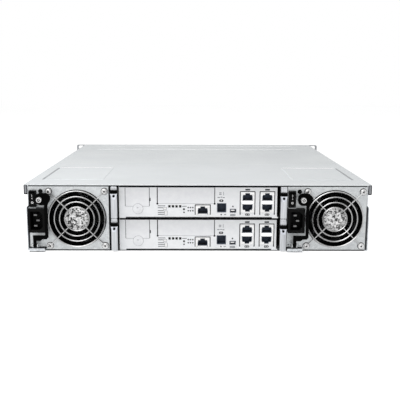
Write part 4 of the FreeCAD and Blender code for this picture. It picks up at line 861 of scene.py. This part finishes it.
def panel_marks(name):
    """Shadow in the seams of battery and slot cover, with notch, corner holes and the tab's outline."""
    dark, soft, faint = bmesh.new(), bmesh.new(), bmesh.new()
    x0, z0 = face_origin(name)
    top = z0 + PANELS_TOP
    seam_out = 0.3

    low, high = extent(f"{name}_battery")
    add_plate(dark, on_rear(high.x + 1.0, high.z - 15.5), 1.6, 4.2, 0.15, 0.6)
    foot = z0 + BATTERY_SEAMS_FOOT
    for x, mesh in ((low.x - seam_out, soft), (high.x + seam_out, dark)):
        add_plate(mesh, on_rear(x, (foot + top) / 2), 0.7, top - foot, PRINT)
    tab_x, tab_z = x0 + BATTERY_TAB[0], z0 + BATTERY_TAB[1]
    add_turned(faint, [(6.9, 0), (6.9, 0.08), (6.3, 0.08), (6.3, 0)], on_rear(tab_x, tab_z), 36)
    add_plate(faint, on_rear(tab_x - 0.3, tab_z + 1.6, low.y), 2.6, 1.0, 0.05, 0.4)
    battery_edge = on_rear((low.x + high.x) / 2, z0 + BATTERY_FOOT), high.x - low.x

    low, high = extent(f"{name}_slot_cover")
    foot = z0 + SLOT_FOOT
    for x, mesh in ((low.x - seam_out, dark), (high.x + seam_out, soft)):
        add_turned(dark, [(1.3, 0), (1.2, 0.15), (0, 0.2)], on_rear(x, foot), 16)
        add_plate(mesh, on_rear(x, (foot + top) / 2), 1.2, top - foot, PRINT)
    slot_edge = on_rear((low.x + high.x) / 2, foot + 0.1), high.x - low.x
    for place, width in (slot_edge, battery_edge):
        add_plate(faint, place, width, 0.5, PRINT)
    as_piece(f"{name}_panel_marks", name, SEAM, dark)
    as_piece(f"{name}_panel_shades", name, SEAM_SOFT, soft)
    as_piece(f"{name}_panel_edges", name, EDGE_FAINT, faint)


def face_edges(name):
    """Painted shade on the canister's top and lower edges, and small feet at the lower corners."""
    strip, feet = bmesh.new(), bmesh.new()
    side_gap = 1.2
    left = extent(f"{name}_handle_left")[1].x + side_gap
    right = extent(f"{name}_handle_right")[0].x - side_gap
    middle, width = (left + right) / 2, right - left
    base, top = extent(f"{name}_housing")[0].z, extent(f"{name}_housing")[1].z
    # Painted shade in the gaps over and under the canister's face.
    add_plate(strip, shift(middle, REAR_Y + 6.2, top), width, 12, 0.3, 0.5)
    add_plate(strip, on_rear(middle, top - 0.35), width, 0.9, STRIP, 0.1)
    add_plate(strip, on_rear(middle, base + 0.5), width, 0.8, STRIP, 0.1)
    for x in (left + 4, right - 4):
        add_plate(feet, on_rear(x, base + 0.3), 8.0, 1.8, 0.25, 0.4)
    as_piece(f"{name}_gap_shade", name, SHADE_BLACK, strip)
    as_piece(f"{name}_face_feet", name, CANISTER, feet)


def strap_hole_shades(name):
    """Dark pin of painted shade in the hole of each handle's strap."""
    for side in SIDES:
        node = f"{name}_handle_{side}"
        low, high = extent(node)
        level = COLLAR_LEVELS[side] - 3.2 + extent(f"{name}_housing")[0].z
        # Painted shade behind the strap's hole.
        mesh = bmesh.new()
        add_turned(mesh, [(1.55, 0), (1.55, 1.2), (1.1, 1.5), (0, 1.5)],
                   on_rear((low.x + high.x) / 2, level, low.y + 2.1), 20)
        as_piece(f"{node}_pin", node, SHADE_BLACK, mesh)


def handle_tips(name):
    """Turned-over tip that closes the gap over each handle's channel."""
    lap, reach = 0.4, TIP_REACH[name]
    for side in SIDES:
        node = f"{name}_handle_{side}"
        level = extent(node)[1].z + reach / 2 - lap
        mesh = bmesh.new()
        add_plate(mesh, on_rear(TIP_MIDDLES[side], level, REAR_Y - 8.0), 7.7, reach + 2 * lap, 1.0, 0.8)
        as_piece(f"{node}_tip", node, HANDLE, mesh)


# ---------------------------------------------------------------- chassis pieces

def cover_folds():
    """Glazed strips on the covers' folds where they catch the light, and painted shade where they turn
    from it.
    """
    light, dark = bmesh.new(), bmesh.new()
    low, high = extent("rear_cover")
    sheet = TOP_Z - FIELD_RISE
    for sign in (-1, 1):
        x = sign * REAR_FIELD_X
        add_plate(light, shift(x, low.y + REAR_FIELD_FAR, TOP_Z), 79, 6.0, 0.05, 1.0)
        # Painted shade on the side of each rear field that turns from the light.
        side = shift(x + sign * REAR_FIELD_SIDE, low.y + REAR_FIELD_MIDDLE, sheet)
        add_plate(dark, side, 3.0, 112, STRIP, 1.0)
    for depth, width in FRONT_FIELD_EDGES:
        add_plate(light, shift(0, FRONT_Y - depth, TOP_Z), width, 5.0, 0.05, 1.0)
    add_plate(light, shift(0, low.y + 1.6, sheet), high.x - low.x - 4, 2.4, STRIP, 0.5)
    as_piece("cover_folds_light", "chassis", FOLD_LIGHT, light)
    as_piece("cover_folds_dark", "chassis", FOLD_DARK, dark)


def rear_edges():
    """Folded ends of the cover's sides on painted shadow, and painted shadow along the base's rear edge
    and lips.
    """
    low, high = extent("rear_cover")
    ends, dark = bmesh.new(), bmesh.new()
    for x in (low.x + 2.4, high.x - 2.4):
        # Painted shadow in the channel behind each folded end.
        add_plate(dark, on_rear(x, TOP_Z - 7.4), 4.8, 12.4, 0.3, 1.2)
        add_plate(ends, on_rear(x, TOP_Z - 7.0, REAR_Y - 0.3), 2.6, 10.6, 0.3, 1.0)
    cage = extent("canister_cage")[1].x
    casing = extent("psu_right_casing")[1].x
    # Painted shadow along the base's rear edge.
    add_plate(dark, on_rear(0, 0.72), 2 * cage, 1.44, 0.2)
    for sign in (-1, 1):
        add_plate(dark, on_rear(sign * (cage + casing) / 2, 0.65), casing - cage, 1.3, 0.2)
    lip_y = extent("chassis_tray")[0].y
    edge = [v.co.x / MM for v in NODES["chassis_tray"].data.vertices if v.co.y / MM < lip_y + 0.1]
    for sign in (-1, 1):
        lip = [x for x in edge if x * sign > 0]
        middle, width = (min(lip) + max(lip)) / 2, max(lip) - min(lip)
        add_plate(dark, on_rear(middle, 0.45, lip_y), width, 0.8, STRIP, 0.1)
    as_piece("cover_fold_ends", "chassis", FOLD_END, ends)
    as_piece("rear_edge_shadows", "chassis", SHADE_BLACK, dark)


def cover_screws():
    """Countersunk screws along the folded sides of both covers."""
    sunk, below_top = 0.15, 5.2
    outline = [(2.2, 0), (2.1, 0.12), (1.0, 0.1), (0.8, -0.3), (0, -0.4)]
    for node in ("rear_cover", "front_cover"):
        low, high = extent(node)
        mesh = bmesh.new()
        for sign, x in ((-1, low.x), (1, high.x)):
            for i in range(LID_SCREWS):
                y = low.y + (high.y - low.y) * (i + 0.5) / LID_SCREWS
                place = shift(x - sign * sunk, y, TOP_Z - below_top) @ towards((sign, 0, 0))
                add_turned(mesh, outline, place)
        as_piece(f"{node}_screws", "chassis", NICKEL, mesh)


def ear_rivets():
    """Four domed rivets through the flange of each rack ear."""
    outline = [(2.4, 0), (2.3, 0.5), (1.4, 1.0), (0, 1.15)]
    for side, sign in zip(SIDES, (-1, 1)):
        front = extent(f"rack_ear_{side}")[1].y
        mesh = bmesh.new()
        for depth in EAR_RIVET_DEPTHS:
            for z in EAR_RIVET_LEVELS:
                place = shift(sign * SIDE_WALL, front - depth, z) @ towards((sign, 0, 0))
                add_turned(mesh, outline, place)
        as_piece(f"rack_ear_{side}_rivets", "chassis", NICKEL, mesh)


def drive_lamps(name):
    """Two light pipes in the bezel beside the latch."""
    low, high = extent(f"{name}_carrier")
    mesh = bmesh.new()
    for apart in (-3.2, 3.2):
        place = shift(high.x - 9, high.y - 0.5, (low.z + high.z) / 2 + apart) @ towards((0, 1, 0))
        add_plate(mesh, place, 2.0, 3.6, 0.5, 0.8)
    as_piece(f"{name}_lamps", name, LENS_GREEN, mesh)


# ---------------------------------------------------------------- stage, light and camera

def rays_seen(tree):
    """1 for rays from the camera and for mirrored and refracted ones, 0 for light itself."""
    rays = tree.nodes.new("ShaderNodeLightPath")
    seen = rays.outputs["Is Camera Ray"]
    for name in ("Is Glossy Ray", "Is Transmission Ray"):
        widest = tree.nodes.new("ShaderNodeMath")
        widest.operation = "MAXIMUM"
        tree.links.new(seen, widest.inputs[0])
        tree.links.new(rays.outputs[name], widest.inputs[1])
        seen = widest.outputs[0]
    return seen


def floor_material():
    """White paper that keeps the object's shadow and fades into the background."""
    finish = Finish("floor_paper", 0.0, 0.9, Specular_IOR_Level=0.0, Emission_Color=(1, 1, 1, 1))
    finish.colour(finish.ramp(finish.noise(3, 2), srgb(250), srgb(254)))
    glow = finish.tree.nodes.new("ShaderNodeMapRange")
    glow.inputs["To Max"].default_value = 0.6
    finish.link(rays_seen(finish.tree), glow.inputs["Value"])
    finish.link(glow.outputs["Result"], finish.shader.inputs["Emission Strength"])
    return finish.material


def stage():
    """Pale floor just under the base, wide enough to meet the background."""
    reach, level = 4.0, -0.0002
    mesh = bmesh.new()
    mesh.faces.new([mesh.verts.new((x * reach, y * reach, level))
                    for x, y in ((-1, -1), (1, -1), (1, 1), (-1, 1))])
    data = bpy.data.meshes.new("floor")
    mesh.to_mesh(data)
    mesh.free()
    data.materials.append(floor_material())
    floor = bpy.data.objects.new("floor", data)
    bpy.context.scene.collection.objects.link(floor)


def world():
    """White to the camera and in reflections, softer as a source of light."""
    made = bpy.data.worlds.new("studio")
    bpy.context.scene.world = made
    made.use_nodes = True
    tree = made.node_tree
    background = tree.nodes["Background"]
    background.inputs["Color"].default_value = (1, 1, 1, 1)
    level = tree.nodes.new("ShaderNodeMapRange")
    level.inputs["To Min"].default_value = 0.4
    level.inputs["To Max"].default_value = 1.0
    tree.links.new(rays_seen(tree), level.inputs["Value"])
    tree.links.new(level.outputs["Result"], background.inputs["Strength"])


def area_light(name, place, target, size, power):
    """Rectangular lamp at a place, turned towards a target."""
    data = bpy.data.lights.new(name, "AREA")
    data.shape = "RECTANGLE"
    data.size, data.size_y = size
    data.energy = power
    lamp = bpy.data.objects.new(name, data)
    lamp.location = place
    lamp.rotation_mode = "QUATERNION"
    lamp.rotation_quaternion = (Vector(target) - Vector(place)).to_track_quat("-Z", "Y")
    bpy.context.scene.collection.objects.link(lamp)


def camera():
    """Camera behind the shelf and above it, looking slightly down."""
    focal, picture_width, sensor = 675.7, 400, 36
    place = Vector((-0.0043, REAR_Y * MM - 0.8549, 0.2264))
    pitch, yaw, roll = (math.radians(a) for a in (10.55, 0.45, 0.20))
    forward = Vector((math.sin(yaw) * math.cos(pitch), math.cos(yaw) * math.cos(pitch), -math.sin(pitch)))
    right = Vector((math.cos(yaw), -math.sin(yaw), 0))
    up = right.cross(forward)
    rolled_right = right * math.cos(roll) + up * math.sin(roll)
    rolled_up = up * math.cos(roll) - right * math.sin(roll)
    data = bpy.data.cameras.new("camera")
    data.sensor_width = sensor
    data.lens = focal / picture_width * sensor
    data.clip_start, data.clip_end = 0.01, 20
    made = bpy.data.objects.new("camera", data)
    turn = Matrix((rolled_right, rolled_up, -forward)).transposed().to_4x4()
    made.matrix_world = Matrix.Translation(place) @ turn
    bpy.context.scene.collection.objects.link(made)
    bpy.context.scene.camera = made


# ---------------------------------------------------------------- the whole scene

dress_chassis()
for supply in SUPPLIES:
    for step in (dress_supply, guard_screws, hub_disc, rocker_marks, supply_lamp, inlet_lip,
                 thumbscrew_head, supply_rivets):
        step(supply)
for controller in CONTROLLERS:
    for step in (dress_controller, face_lamps, face_dots, face_strokes, port_labels, jack_contacts,
                 jack_shadow_rims, panel_marks, face_edges, strap_hole_shades, handle_tips):
        step(controller)
for drive in DRIVES:
    dress_drive(drive)
    drive_lamps(drive)
for step in (cover_folds, rear_edges, cover_screws, ear_rivets, stage, world):
    step()
area_light("key", (-0.5, -0.65, 1.05), (0, -0.2, 0.05), (1.0, 1.0), 9)
area_light("front", (0.0, -1.9, 0.4), (0, -0.2, 0.05), (1.2, 0.5), 4)
camera()
bpy.context.scene.view_settings.view_transform = "Standard"
